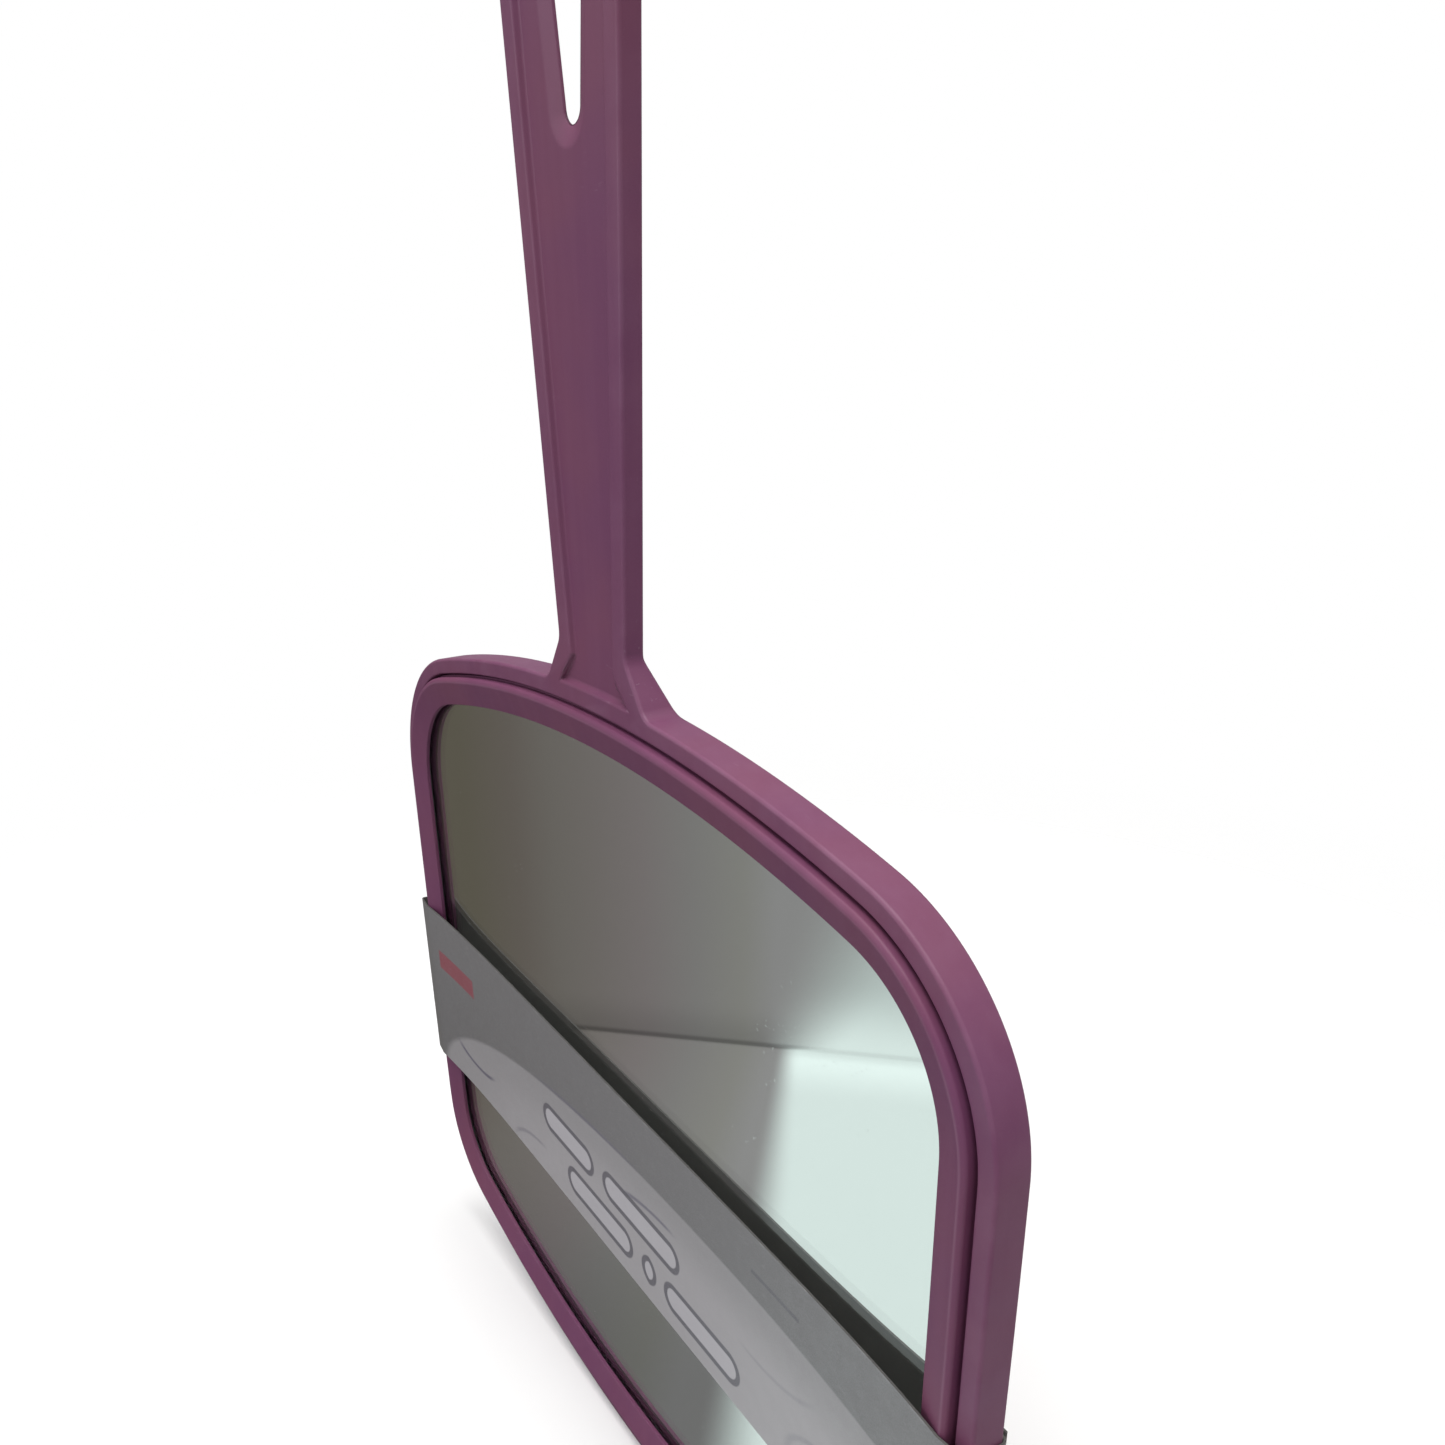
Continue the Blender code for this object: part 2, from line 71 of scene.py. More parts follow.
# Frame depths and edge roundings.
HANDLE_DEPTH = 3.2 * MM
FLOOR_DEPTH = 3.9 * MM
RIM_WIDTH = 2.7 * MM
OUTER_ROUNDING = 0.55 * MM
INNER_ROUNDING = 0.3 * MM
ROUNDING_SEGMENTS = 4
SHARP_ANGLE = math.radians(15.0)
WALL_TILT = 0.3
LARGE_FACE_WEIGHT = 80

# Neck and handle.
FLARE_RISE = 6.5 * MM
FLARE_HALF_WIDTH = 14.0 * MM
NECK_FILLET_RADIUS = 3.0 * MM
NECK_FILLET_STEPS = 14
NECK_HALF_WIDTH = 9.4 * MM
HANDLE_TAPER = 0.065
HANDLE_END_RADIUS = 16.0 * MM
HANDLE_END_STEPS = 60
RAMP_FOOT_DROP = 0.6 * MM

# Recessed panels of the handle.
RIB_WIDTH = 3.2 * MM
PANEL_DEPTH = 0.8 * MM
BACK_PANEL_DEPTH = 0.5 * MM
PANEL_FLARE_RISE = 4.5 * MM
PANEL_FLARE_HALF_WIDTH = 10.0 * MM
PANEL_DRAFT = 0.6 * MM
PANEL_FOOT_STEPS = 14

# Hanging slot.
SLOT_LOWER_RADIUS = 2.0 * MM
SLOT_UPPER_RADIUS = 6.8 * MM
SLOT_BOTTOM_ABOVE_HEAD = 69.2 * MM
SLOT_MOUTH_WIDTH = 2.4 * MM
SLOT_MOUTH_DEPTH = 0.8 * MM
SLOT_STEPS = 32
CUT_MARGIN = 2.0 * MM

# Glass.
GLASS_INSET = 5.0 * MM
GLASS_FRONT_DEPTH = 1.2 * MM
GLASS_THICKNESS = 1.8 * MM
GLASS_ARRIS = 0.25 * MM
PAINT_THICKNESS = 0.05 * MM
PAINT_GAP = 0.02 * MM

# Ring, as offsets inward from the rim's outer edge and depths.
RING_SKIRT_OUTER = 3.0 * MM
RING_SKIRT_INNER = 4.7 * MM
RING_WALL = 3.3 * MM
RING_SHOULDER_DEPTH = 0.9 * MM
RING_CREST = 4.0 * MM
RING_CREST_RISE = 1.2 * MM
RING_LIP = 8.3 * MM
RING_LIP_TOP = -0.2 * MM
RING_GLASS_GAP = 0.3 * MM
RING_FOOT_DEPTH = 3.6 * MM
RING_CREST_RADIUS = 0.35 * MM
RING_WALL_DROP = 0.4 * MM
RING_EDGE_RADIUS = 0.15 * MM
RING_ARC_STEPS = 6

# Card sleeve.
CARD_THICKNESS = 0.3 * MM
CARD_ROOM = 0.4 * MM
CARD_SHARP_ANGLE = math.radians(50.0)
INSIDE_MATERIAL = 1
CUT_EDGE_MATERIAL = 2
SLEEVE_TOP = 5.7 * MM
SLEEVE_HEIGHT = 36.4 * MM
SLEEVE_SKEW = -0.037
SLEEVE_LEAN = -0.22
SLEEVE_SIDE_GAP = 0.04 * MM
SLEEVE_CREST_GAP = 0.1 * MM
SLEEVE_DIP = 1.4 * MM
SLEEVE_DIP_FLATNESS = 6
SLEEVE_FOLD_RADIUS = 1.0 * MM
SLEEVE_FOLD_STEPS = 10
SLEEVE_FRONT_FOLD_ANGLE = math.radians(79.0)
SLEEVE_FRONT_STEPS = 96
SLEEVE_ROWS = 14
SLEEVE_BACK_GAP = 0.3 * MM
SLEEVE_TAB_LENGTH = 14.0 * MM
GLUE_ROOM = 0.4 * MM
SLEEVE_CREST_DEPTH = -RING_CREST_RISE - SLEEVE_CREST_GAP - CARD_THICKNESS / 2
SLEEVE_CENTRE_Z = SLEEVE_TOP - SLEEVE_HEIGHT / 2

# Camera, placed from the middle of the rim's front face.
CAMERA_OFFSET = Vector((140.4 * MM, -74.0 * MM, 117.3 * MM))
CAMERA_AZIMUTH = math.radians(54.6)
CAMERA_ELEVATION = math.radians(22.7)
CAMERA_ROLL = 0.003
CAMERA_LENS = 28.9
CAMERA_SHIFT = (-0.0137, 0.0737)
CAMERA_CLIP_START = 5.0 * MM


def at(x, depth, z):
    """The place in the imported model's frame of a point in head coordinates."""
    return HEAD_CENTRE + Vector((x, depth, z))


# Outlines: lists of (x, z) in head coordinates, counter-clockwise.

ON_CENTRE_LINE = 1e-9


def arc(centre, radius, start, end, steps):
    angles = [start + (end - start) * step / steps for step in range(steps + 1)]
    return [(centre[0] + radius * math.cos(a), centre[1] + radius * math.sin(a)) for a in angles]


def on_centre_line(points):
    return points[:-1] + [(0.0, points[-1][1])]


def fillet(before, corner, after, radius, steps):
    """An arc that rounds the corner between two straight runs, from the first run to the second."""
    here = Vector(corner)
    backward = (Vector(before) - here).normalized()
    onward = (Vector(after) - here).normalized()
    half_angle = backward.angle(onward) / 2
    centre = here + (backward + onward).normalized() * radius / math.sin(half_angle)
    reach = radius / math.tan(half_angle)
    start = math.atan2(*(here + backward * reach - centre).yx)
    end = math.atan2(*(here + onward * reach - centre).yx)
    turn = math.remainder(end - start, 2 * math.pi)
    return arc(centre, radius, start, start + turn, steps)


def mirrored_in_x(points):
    left = [(-x, z) for x, z in reversed(points) if x > ON_CENTRE_LINE]
    return points + left


def head_quarter(arc_radius, corner_radius, inset):
    end_centre = Vector((0.0, HEAD_HALF_HEIGHT - arc_radius))
    side_centre = Vector((HEAD_HALF_WIDTH - SIDE_ARC_RADIUS, 0.0))
    meetings = intersect_sphere_sphere_2d(
        end_centre, arc_radius - corner_radius, side_centre, SIDE_ARC_RADIUS - corner_radius
    )
    corner_centre = max(meetings, key=lambda point: point.x + point.y)
    corner_start = math.atan2(*(corner_centre - side_centre).yx)
    corner_end = math.atan2(*(corner_centre - end_centre).yx)
    side = arc(side_centre, SIDE_ARC_RADIUS - inset, 0.0, corner_start, SIDE_STEPS)
    corner = arc(corner_centre, corner_radius - inset, corner_start, corner_end, CORNER_STEPS)
    end = arc(end_centre, arc_radius - inset, corner_end, math.pi / 2, END_ARC_STEPS)
    return side[:-1] + corner + on_centre_line(end[1:])


def head_outline(inset=0.0):
    upper = head_quarter(UPPER_ARC_RADIUS, UPPER_CORNER_RADIUS, inset)
    lower = head_quarter(LOWER_ARC_RADIUS, LOWER_CORNER_RADIUS, inset)
    lower_from_bottom = [(x, -z) for x, z in reversed(lower)]
    return mirrored_in_x(lower_from_bottom + upper[1:])


def head_top(x):
    return HEAD_HALF_HEIGHT - UPPER_ARC_RADIUS + math.sqrt(UPPER_ARC_RADIUS**2 - x**2)


def handle_end_centre():
    slant = math.sqrt(1 + HANDLE_TAPER**2)
    run = (HANDLE_END_RADIUS * slant - NECK_HALF_WIDTH) / HANDLE_TAPER
    return HEAD_HALF_HEIGHT + FLARE_RISE + run


def handle_end_arc(inset):
    start = -math.atan(HANDLE_TAPER)
    centre = (0.0, handle_end_centre())
    return on_centre_line(arc(centre, HANDLE_END_RADIUS - inset, start, math.pi / 2, HANDLE_END_STEPS))


def is_under_neck(point):
    return point[1] > 0 and abs(point[0]) < FLARE_HALF_WIDTH + CUT_MARGIN


def frame_outline():
    right_of_head = [point for point in head_outline() if point[0] >= 0 and not is_under_neck(point)]
    foot = (FLARE_HALF_WIDTH, head_top(FLARE_HALF_WIDTH))
    neck = (NECK_HALF_WIDTH, HEAD_HALF_HEIGHT + FLARE_RISE)
    handle = handle_end_arc(0.0)
    fillets = fillet(right_of_head[-1], foot, neck, NECK_FILLET_RADIUS, NECK_FILLET_STEPS)
    fillets += fillet(foot, neck, handle[0], NECK_FILLET_RADIUS, NECK_FILLET_STEPS)
    return mirrored_in_x(right_of_head + fillets + handle)


def panel_outline(widening=0.0):
    foot_half_width = PANEL_FLARE_HALF_WIDTH + widening
    foot = []
    for step in range(PANEL_FOOT_STEPS + 1):
        x = foot_half_width * step / PANEL_FOOT_STEPS
        foot.append((x, head_top(x) - widening))
    flare_height = HEAD_HALF_HEIGHT + PANEL_FLARE_RISE
    neck_half_width = NECK_HALF_WIDTH - RIB_WIDTH + widening
    neck = [(neck_half_width + HANDLE_TAPER * (PANEL_FLARE_RISE - FLARE_RISE), flare_height)]
    return mirrored_in_x(foot + neck + handle_end_arc(RIB_WIDTH - widening))


def slot_outline(widening=0.0):
    lower_centre = HEAD_HALF_HEIGHT + SLOT_BOTTOM_ABOVE_HEAD + SLOT_LOWER_RADIUS
    upper_centre = handle_end_centre()
    spread = math.asin((SLOT_UPPER_RADIUS - SLOT_LOWER_RADIUS) / (upper_centre - lower_centre))
    lower = arc((0.0, lower_centre), SLOT_LOWER_RADIUS + widening, -spread, -math.pi / 2, SLOT_STEPS)
    upper = arc((0.0, upper_centre), SLOT_UPPER_RADIUS + widening, -spread, math.pi / 2, SLOT_STEPS)
    return mirrored_in_x(on_centre_line(lower)[::-1] + on_centre_line(upper))


# Meshes.


def new_object(name, builder):
    """Puts the built mesh into the scene as an object."""
    mesh = bpy.data.meshes.new(name)
    builder.to_mesh(mesh)
    builder.free()
    thing = bpy.data.objects.new(name, mesh)
    bpy.context.scene.collection.objects.link(thing)
    return thing


def loft(name, sections, capped):
    """A skin through equal sections of (outline, depth), capped at its ends or closed on itself."""
    builder = bmesh.new()
    loops = [[builder.verts.new(at(x, depth, z)) for x, z in outline] for outline, depth in sections]
    pairs = list(zip(loops, loops[1:]))
    if capped:
        builder.faces.new(loops[0])
        builder.faces.new(loops[-1])
    else:
        pairs.append((loops[-1], loops[0]))
    for lower, upper in pairs:
        for index in range(len(lower)):
            following = (index + 1) % len(lower)
            builder.faces.new((lower[index], lower[following], upper[following], upper[index]))
    bmesh.ops.recalc_face_normals(builder, faces=builder.faces)
    return new_object(name, builder)


def bake_modifiers(thing):
    """Replaces the mesh by the one its modifiers make, and drops them."""
    bpy.context.view_layer.update()
    evaluated = thing.evaluated_get(bpy.context.evaluated_depsgraph_get())
    mesh = bpy.data.meshes.new_from_object(evaluated)
    thing.modifiers.clear()
    thing.data = mesh


def cut(solid, cutter):
    modifier = solid.modifiers.new("cut", "BOOLEAN")
    modifier.operation = "DIFFERENCE"
    modifier.solver = "EXACT"
    modifier.object = cutter
    bake_modifiers(solid)
    bpy.data.objects.remove(cutter, do_unlink=True)


def shade_smooth(thing):
    thing.data.shade_smooth()
    normals = thing.modifiers.new("weighted normals", "WEIGHTED_NORMAL")
    normals.weight = LARGE_FACE_WEIGHT
    normals.keep_sharp = False


def back_ramp_cutter():
    foot = HEAD_HALF_HEIGHT - RAMP_FOOT_DROP
    top = HEAD_HALF_HEIGHT + FLARE_RISE
    end = handle_end_centre() + HANDLE_END_RADIUS + CUT_MARGIN
    behind = HEAD_DEPTH + CUT_MARGIN
    profile = [(foot, behind), (foot, HEAD_DEPTH), (top, HANDLE_DEPTH), (end, HANDLE_DEPTH), (end, behind)]
    half_width = HANDLE_END_RADIUS + CUT_MARGIN
    builder = bmesh.new()
    side = builder.faces.new([builder.verts.new(at(-half_width, depth, z)) for z, depth in profile])
    swept = bmesh.ops.extrude_face_region(builder, geom=[side])
    moved = [item for item in swept["geom"] if isinstance(item, bmesh.types.BMVert)]
    bmesh.ops.translate(builder, verts=moved, vec=(2 * half_width, 0.0, 0.0))
    bmesh.ops.recalc_face_normals(builder, faces=builder.faces)
    return new_object("back_ramp_cutter", builder)


def panel_cutter(surface, floor):
    reach = surface + math.copysign(CUT_MARGIN, surface - floor)
    lean = PANEL_DRAFT * abs(reach - floor) / abs(surface - floor)
    sections = [(panel_outline(lean - PANEL_DRAFT), reach), (panel_outline(-PANEL_DRAFT), floor)]
    return loft("panel_cutter", sections, capped=True)


def slot_mouth_cutter(surface, inward):
    slope = SLOT_MOUTH_WIDTH / SLOT_MOUTH_DEPTH
    reach = surface - inward * CUT_MARGIN
    floor = surface + inward * SLOT_MOUTH_DEPTH
    wide = SLOT_MOUTH_WIDTH + slope * CUT_MARGIN
    return loft("mouth_cutter", [(slot_outline(wide), reach), (slot_outline(0.0), floor)], capped=True)


def faces_away(face, middle):
    """Whether a wall turns its back on the middle of the head, or of the handle further up."""
    if middle.z < HEAD_HALF_HEIGHT:
        inward = Vector((middle.x, 0.0, middle.z))
    else:
        inward = Vector((middle.x, 0.0, max(0.0, middle.z - handle_end_centre())))
    return abs(face.normal.y) < WALL_TILT and face.normal.dot(inward) > 0


def rounding_weight(edge):
    """How much of the outer rounding an edge gets: none in the pocket's corner, least at inner edges."""
    if len(edge.link_faces) != 2 or edge.calc_face_angle(0.0) < SHARP_ANGLE:
        return 0.0
    middle = (edge.verts[0].co + edge.verts[1].co) / 2 - HEAD_CENTRE
    if abs(middle.y - FLOOR_DEPTH) < INNER_ROUNDING and middle.z < HEAD_HALF_HEIGHT:
        return 0.0
    if edge.is_convex and any(faces_away(face, middle) for face in edge.link_faces):
        return 1.0
    return INNER_ROUNDING / OUTER_ROUNDING


def round_frame_edges(solid):
    builder = bmesh.new()
    builder.from_mesh(solid.data)
    weights = builder.edges.layers.float.new("bevel_weight_edge")
    for edge in builder.edges:
        edge[weights] = rounding_weight(edge)
    builder.to_mesh(solid.data)
    builder.free()
    modifier = solid.modifiers.new("rounded edges", "BEVEL")
    modifier.width = OUTER_ROUNDING
    modifier.segments = ROUNDING_SEGMENTS
    modifier.limit_method = "WEIGHT"
    modifier.use_clamp_overlap = False
    bake_modifiers(solid)


def make_frame():
    outline = frame_outline()
    solid = loft("handle_frame_moulding", [(outline, 0.0), (outline, HEAD_DEPTH)], capped=True)
    cut(solid, back_ramp_cutter())
    pocket = [(head_outline(RIM_WIDTH), -CUT_MARGIN), (head_outline(RIM_WIDTH), FLOOR_DEPTH)]
    cut(solid, loft("pocket_cutter", pocket, capped=True))
    back_floor = HANDLE_DEPTH - BACK_PANEL_DEPTH
    cut(solid, panel_cutter(0.0, PANEL_DEPTH))
    cut(solid, panel_cutter(HANDLE_DEPTH, back_floor))
    slot = [(slot_outline(), -CUT_MARGIN), (slot_outline(), HANDLE_DEPTH + CUT_MARGIN)]
    cut(solid, loft("slot_cutter", slot, capped=True))
    cut(solid, slot_mouth_cutter(PANEL_DEPTH, 1))
    cut(solid, slot_mouth_cutter(back_floor, -1))
    round_frame_edges(solid)
    shade_smooth(solid)
    return solid


def rounded_profile(corners, steps):
    """A closed section with each (x, y, radius) corner replaced by an arc-like run of points."""
    points = []
    for index, (x, y, radius) in enumerate(corners):
        here = Vector((x, y))
        before = Vector(corners[index - 1][:2]) - here
        after = Vector(corners[(index + 1) % len(corners)][:2]) - here
        if radius == 0.0:
            points.append(here)
            continue
        start = here + before.normalized() * radius
        end = here + after.normalized() * radius
        for step in range(steps + 1):
            share = step / steps
            points.append(start * (1 - share) ** 2 + here * 2 * share * (1 - share) + end * share**2)
    return points


def make_ring():
    underside = -(GLASS_FRONT_DEPTH - RING_GLASS_GAP)
    crest = RING_CREST_RISE
    corners = [
        (RING_SKIRT_OUTER, -RING_FOOT_DEPTH, RING_EDGE_RADIUS),
        (RING_SKIRT_INNER, -RING_FOOT_DEPTH, RING_EDGE_RADIUS),
        (RING_SKIRT_INNER, underside, 0.0),
        (RING_LIP, underside, RING_EDGE_RADIUS),
        (RING_LIP, RING_LIP_TOP, RING_EDGE_RADIUS),
        (RING_CREST, crest, RING_CREST_RADIUS),
        (RING_WALL, crest - RING_WALL_DROP, RING_CREST_RADIUS),
        (RING_WALL, -RING_SHOULDER_DEPTH, RING_EDGE_RADIUS),
        (RING_SKIRT_OUTER, -RING_SHOULDER_DEPTH, RING_EDGE_RADIUS),
    ]
    section = rounded_profile(corners, RING_ARC_STEPS)
    sections = [(head_outline(point.x), -point.y) for point in section]
    ring = loft("bezel_ring_moulding", sections, capped=False)
    shade_smooth(ring)
    return ring


def make_pane():
    front = GLASS_FRONT_DEPTH
    back = GLASS_FRONT_DEPTH + GLASS_THICKNESS - PAINT_THICKNESS - PAINT_GAP
    inner = head_outline(GLASS_INSET + GLASS_ARRIS)
    outer = head_outline(GLASS_INSET)
    sections = [(inner, front), (outer, front + GLASS_ARRIS), (outer, back - GLASS_ARRIS), (inner, back)]
    return loft("mirror_pane", sections, capped=True)


def make_backing_paint():
    back = GLASS_FRONT_DEPTH + GLASS_THICKNESS
    outline = head_outline(GLASS_INSET + GLASS_ARRIS)
    return loft("mirror_backing_paint", [(outline, back - PAINT_THICKNESS), (outline, back)], capped=True)


def sleeve_path():
    """Middle of the card, seen from above, as (x, depth): tab, right side, front, left side, back."""
    fold = SLEEVE_FOLD_RADIUS
    turn = HEAD_HALF_WIDTH + SLEEVE_SIDE_GAP + CARD_THICKNESS / 2 - fold
    crest = HEAD_HALF_WIDTH - RING_CREST
    tab_depth = HEAD_DEPTH + SLEEVE_BACK_GAP + CARD_ROOM / 2
    back_depth = tab_depth + CARD_ROOM + GLUE_ROOM
    quarter = math.pi / 2
    path = [(HEAD_HALF_WIDTH - SLEEVE_TAB_LENGTH, tab_depth)]
    path += arc((turn, tab_depth - fold), fold, quarter, 0.0, SLEEVE_FOLD_STEPS)
    path += arc((turn, 0.0), fold, 0.0, -SLEEVE_FRONT_FOLD_ANGLE, SLEEVE_FOLD_STEPS)
    for step in range(SLEEVE_FRONT_STEPS + 1):
        across = 1 - 2 * step / SLEEVE_FRONT_STEPS
        path.append((crest * across, SLEEVE_CREST_DEPTH + SLEEVE_DIP * (1 - across**SLEEVE_DIP_FLATNESS)))
    path += arc((-turn, 0.0), fold, SLEEVE_FRONT_FOLD_ANGLE - 2 * quarter, -2 * quarter, SLEEVE_FOLD_STEPS)
    path += arc((-turn, back_depth - fold), fold, 2 * quarter, quarter, SLEEVE_FOLD_STEPS)
    path.append((turn, back_depth))
    return path


def make_sleeve():
    builder = bmesh.new()
    rows = []
    path = sleeve_path()
    for row in range(SLEEVE_ROWS + 1):
        height = SLEEVE_CENTRE_Z + SLEEVE_HEIGHT * (row / SLEEVE_ROWS - 0.5)
        places = [at(x, depth, height + SLEEVE_SKEW * x + SLEEVE_LEAN * depth) for x, depth in path]
        rows.append([builder.verts.new(place) for place in places])
    for lower, upper in zip(rows, rows[1:]):
        for index in range(len(path) - 1):
            builder.faces.new((upper[index], upper[index + 1], lower[index + 1], lower[index]))
    return new_object("retail_sleeve_card", builder)


def give_card_thickness(card):
    """Solid card: printed face outside, plain face inside, raw board at the cut edges."""
    thickness = card.modifiers.new("card thickness", "SOLIDIFY")
    thickness.thickness = CARD_THICKNESS
    thickness.offset = 0.0
    thickness.use_even_offset = True
    thickness.material_offset = INSIDE_MATERIAL
    thickness.material_offset_rim = CUT_EDGE_MATERIAL
    bake_modifiers(card)
    card.data.shade_smooth()
    card.data.set_sharp_from_angle(angle=CARD_SHARP_ANGLE)


# Materials.

# Places of the colour sockets on a Mix node.
MIX_FIRST_COLOUR = 6
MIX_SECOND_COLOUR = 7
MIX_COLOUR_RESULT = 2


class Tree:
    """A material's node tree, built from small calls that return output sockets."""

    def __init__(self, name):
        self.material = bpy.data.materials.new(name)
        self.material.use_nodes = True
        self.links = self.material.node_tree.links
        self.nodes = self.material.node_tree.nodes
        self.nodes.clear()
        self.output = self.node("OutputMaterial")
        self.coords = self.node("TexCoord").outputs["Object"]

    def node(self, kind, **settings):
        node = self.nodes.new("ShaderNode" + kind)
        for key, value in settings.items():
            setattr(node, key, value)
        return node

    def feed(self, socket, value):
        if isinstance(value, bpy.types.NodeSocket):
            self.links.new(value, socket)
        elif socket.type == "RGBA" and len(value) == 3:
            socket.default_value = (*value, 1.0)
        else:
            socket.default_value = value

    def math(self, operation, *values):
        node = self.node("Math", operation=operation)
        for socket, value in zip(node.inputs, values):
            self.feed(socket, value)
        return node.outputs[0]

    def product(self, *values):
        return functools.reduce(lambda left, right: self.math("MULTIPLY", left, right), values)

    def total(self, *values):
        return functools.reduce(lambda left, right: self.math("ADD", left, right), values)

    def off(self, value, middle):
        """How far a value is from the middle, either way."""
        return self.math("ABSOLUTE", self.math("SUBTRACT", value, middle))

    def vector_math(self, operation, *values):
        node = self.node("VectorMath", operation=operation)
        for socket, value in zip(node.inputs, values):
            self.feed(socket, value)
        return node.outputs[0]

    def split(self, vector):
        node = self.node("SeparateXYZ")
        self.feed(node.inputs[0], vector)
        return node.outputs[0], node.outputs[1], node.outputs[2]

    def noise(self, size, detail=2.0, roughness=0.5, stretch=(1.0, 1.0, 1.0), distortion=0.0):
        """Noise from 0 to 1 with features about size metres wide, longer along axes with stretch above 1."""
        node = self.node("TexNoise")
        scaled = self.vector_math("DIVIDE", self.coords, stretch)
        self.feed(node.inputs["Vector"], scaled)
        self.feed(node.inputs["Scale"], 1.0 / size)
        self.feed(node.inputs["Detail"], detail)
        self.feed(node.inputs["Roughness"], roughness)
        self.feed(node.inputs["Distortion"], distortion)
        return node.outputs["Fac"]

    def remap(self, value, low, high, to_low=0.0, to_high=1.0, smooth=True):
        node = self.node("MapRange", interpolation_type="SMOOTHSTEP" if smooth else "LINEAR")
        for socket, given in zip(node.inputs, (value, low, high, to_low, to_high)):
            self.feed(socket, given)
        return node.outputs[0]

    def mix(self, share, first, second):
        node = self.node("Mix", data_type="RGBA")
        self.feed(node.inputs[0], share)
        self.feed(node.inputs[MIX_FIRST_COLOUR], first)
        self.feed(node.inputs[MIX_SECOND_COLOUR], second)
        return node.outputs[MIX_COLOUR_RESULT]

    def bump(self, height, distance, strength=1.0, normal=None):
        node = self.node("Bump")
        self.feed(node.inputs["Height"], height)
        self.feed(node.inputs["Distance"], distance)
        self.feed(node.inputs["Strength"], strength)
        if normal is not None:
            self.feed(node.inputs["Normal"], normal)
        return node.outputs[0]

    def shader(self, kind, inputs):
        node = self.node(kind)
        for name, value in inputs.items():
            self.feed(node.inputs[name], value)
        return node.outputs[0]

    def blend(self, share, first, second):
        """One shader fading into another."""
        node = self.node("MixShader")
        for socket, value in zip(node.inputs, (share, first, second)):
            self.feed(socket, value)
        return node.outputs[0]

    def show(self, shader):
        self.links.new(shader, self.output.inputs["Surface"])

    def principled(self, inputs):
        self.show(self.shader("BsdfPrincipled", inputs))


def head_coordinates(tree):
    """Sockets for x, depth and z in head coordinates, in millimetres."""
    shifted = tree.vector_math("SUBTRACT", tree.coords, tuple(HEAD_CENTRE))
    x, depth, z = tree.split(shifted)
    return [tree.math("DIVIDE", value, MM) for value in (x, depth, z)]


PLUM = (0.142, 0.043, 0.104)
PLUM_WARM = (0.160, 0.048, 0.096)
PLUM_STREAK = (0.19, 0.070, 0.135)
PLUM_SPECKLE = (0.21, 0.085, 0.155)
PLUM_RUBBED = (0.27, 0.14, 0.22)
PLUM_CREST_HIGHLIGHT_AND_WEAR = (0.26, 0.13, 0.20)
PLUM_SCUFFED = (0.3, 0.18, 0.26)
PLUM_SCATTER = (0.9 * MM, 0.4 * MM, 0.6 * MM)
CREST_TOP = -RING_CREST_RISE / MM
CREST_BAND = 0.12


def plum_plastic(name, edge_wear):
    """Satin moulded plastic: faint flow streaks, a fine grain, rubbed edges, a painted highlight with
    handling wear along the ring's crest, and a few handling scuffs.
    """
    tree = Tree(name)
    clouds = tree.noise(26 * MM, detail=3.0)
    streaks = tree.noise(2.2 * MM, detail=2.0, stretch=(1.0, 1.0, 14.0))
    speckle = tree.noise(0.22 * MM, detail=1.0)
    colour = tree.mix(tree.remap(clouds, 0.3, 0.7), PLUM, PLUM_WARM)
    colour = tree.mix(tree.remap(streaks, 0.35, 0.75, 0.0, 0.16), colour, PLUM_STREAK)
    colour = tree.mix(tree.remap(speckle, 0.62, 0.8, 0.0, 0.2), colour, PLUM_SPECKLE)
    edge = tree.remap(tree.node("NewGeometry").outputs["Pointiness"], 0.505, 0.56, 0.0, edge_wear)
    rub = tree.product(edge, tree.remap(tree.noise(6 * MM, detail=3.0), 0.3, 0.7, 0.15, 0.6))
    colour = tree.mix(rub, colour, PLUM_RUBBED)
    _x, depth, _z = head_coordinates(tree)
    # Painted highlight: a lighter band along the ring's crest, broken up by noise like handling wear.
    crest = tree.remap(depth, CREST_TOP + CREST_BAND, CREST_TOP)
    crest_highlight_and_wear = tree.product(crest, tree.remap(tree.noise(9 * MM, detail=3.0), 0.3, 0.7, 0.35, 0.8))
    colour = tree.mix(crest_highlight_and_wear, colour, PLUM_CREST_HIGHLIGHT_AND_WEAR)
    scuffs = tree.noise(0.5 * MM, detail=2.0, stretch=(9.0, 1.0, 1.0), distortion=0.6)
    scuff_zone = tree.remap(tree.noise(17 * MM, detail=1.0), 0.55, 0.68)
    scuff = tree.product(tree.remap(scuffs, 0.66, 0.74), scuff_zone)
    colour = tree.mix(tree.product(scuff, 0.25), colour, PLUM_SCUFFED)
    roughness = tree.remap(clouds, 0.25, 0.75, 0.40, 0.50)
    roughness = tree.total(roughness, tree.product(speckle, 0.08), tree.product(rub, -0.10))
    grain = tree.noise(0.28 * MM, detail=2.0, roughness=0.6)
    ripple = tree.noise(7 * MM, detail=1.0)
    normal = tree.bump(ripple, 0.05 * MM, 0.6)
    normal = tree.bump(grain, 0.012 * MM, 0.7, normal)
    normal = tree.bump(scuff, 0.01 * MM, 0.5, normal)
    tree.principled({
        "Base Color": colour,
        "Roughness": roughness,
        "IOR": 1.49,
        "Specular IOR Level": 0.3,
        "Subsurface Weight": 0.04,
        "Subsurface Radius": PLUM_SCATTER,
        "Subsurface Scale": 1.0,
        "Normal": normal,
    })
    return tree.material


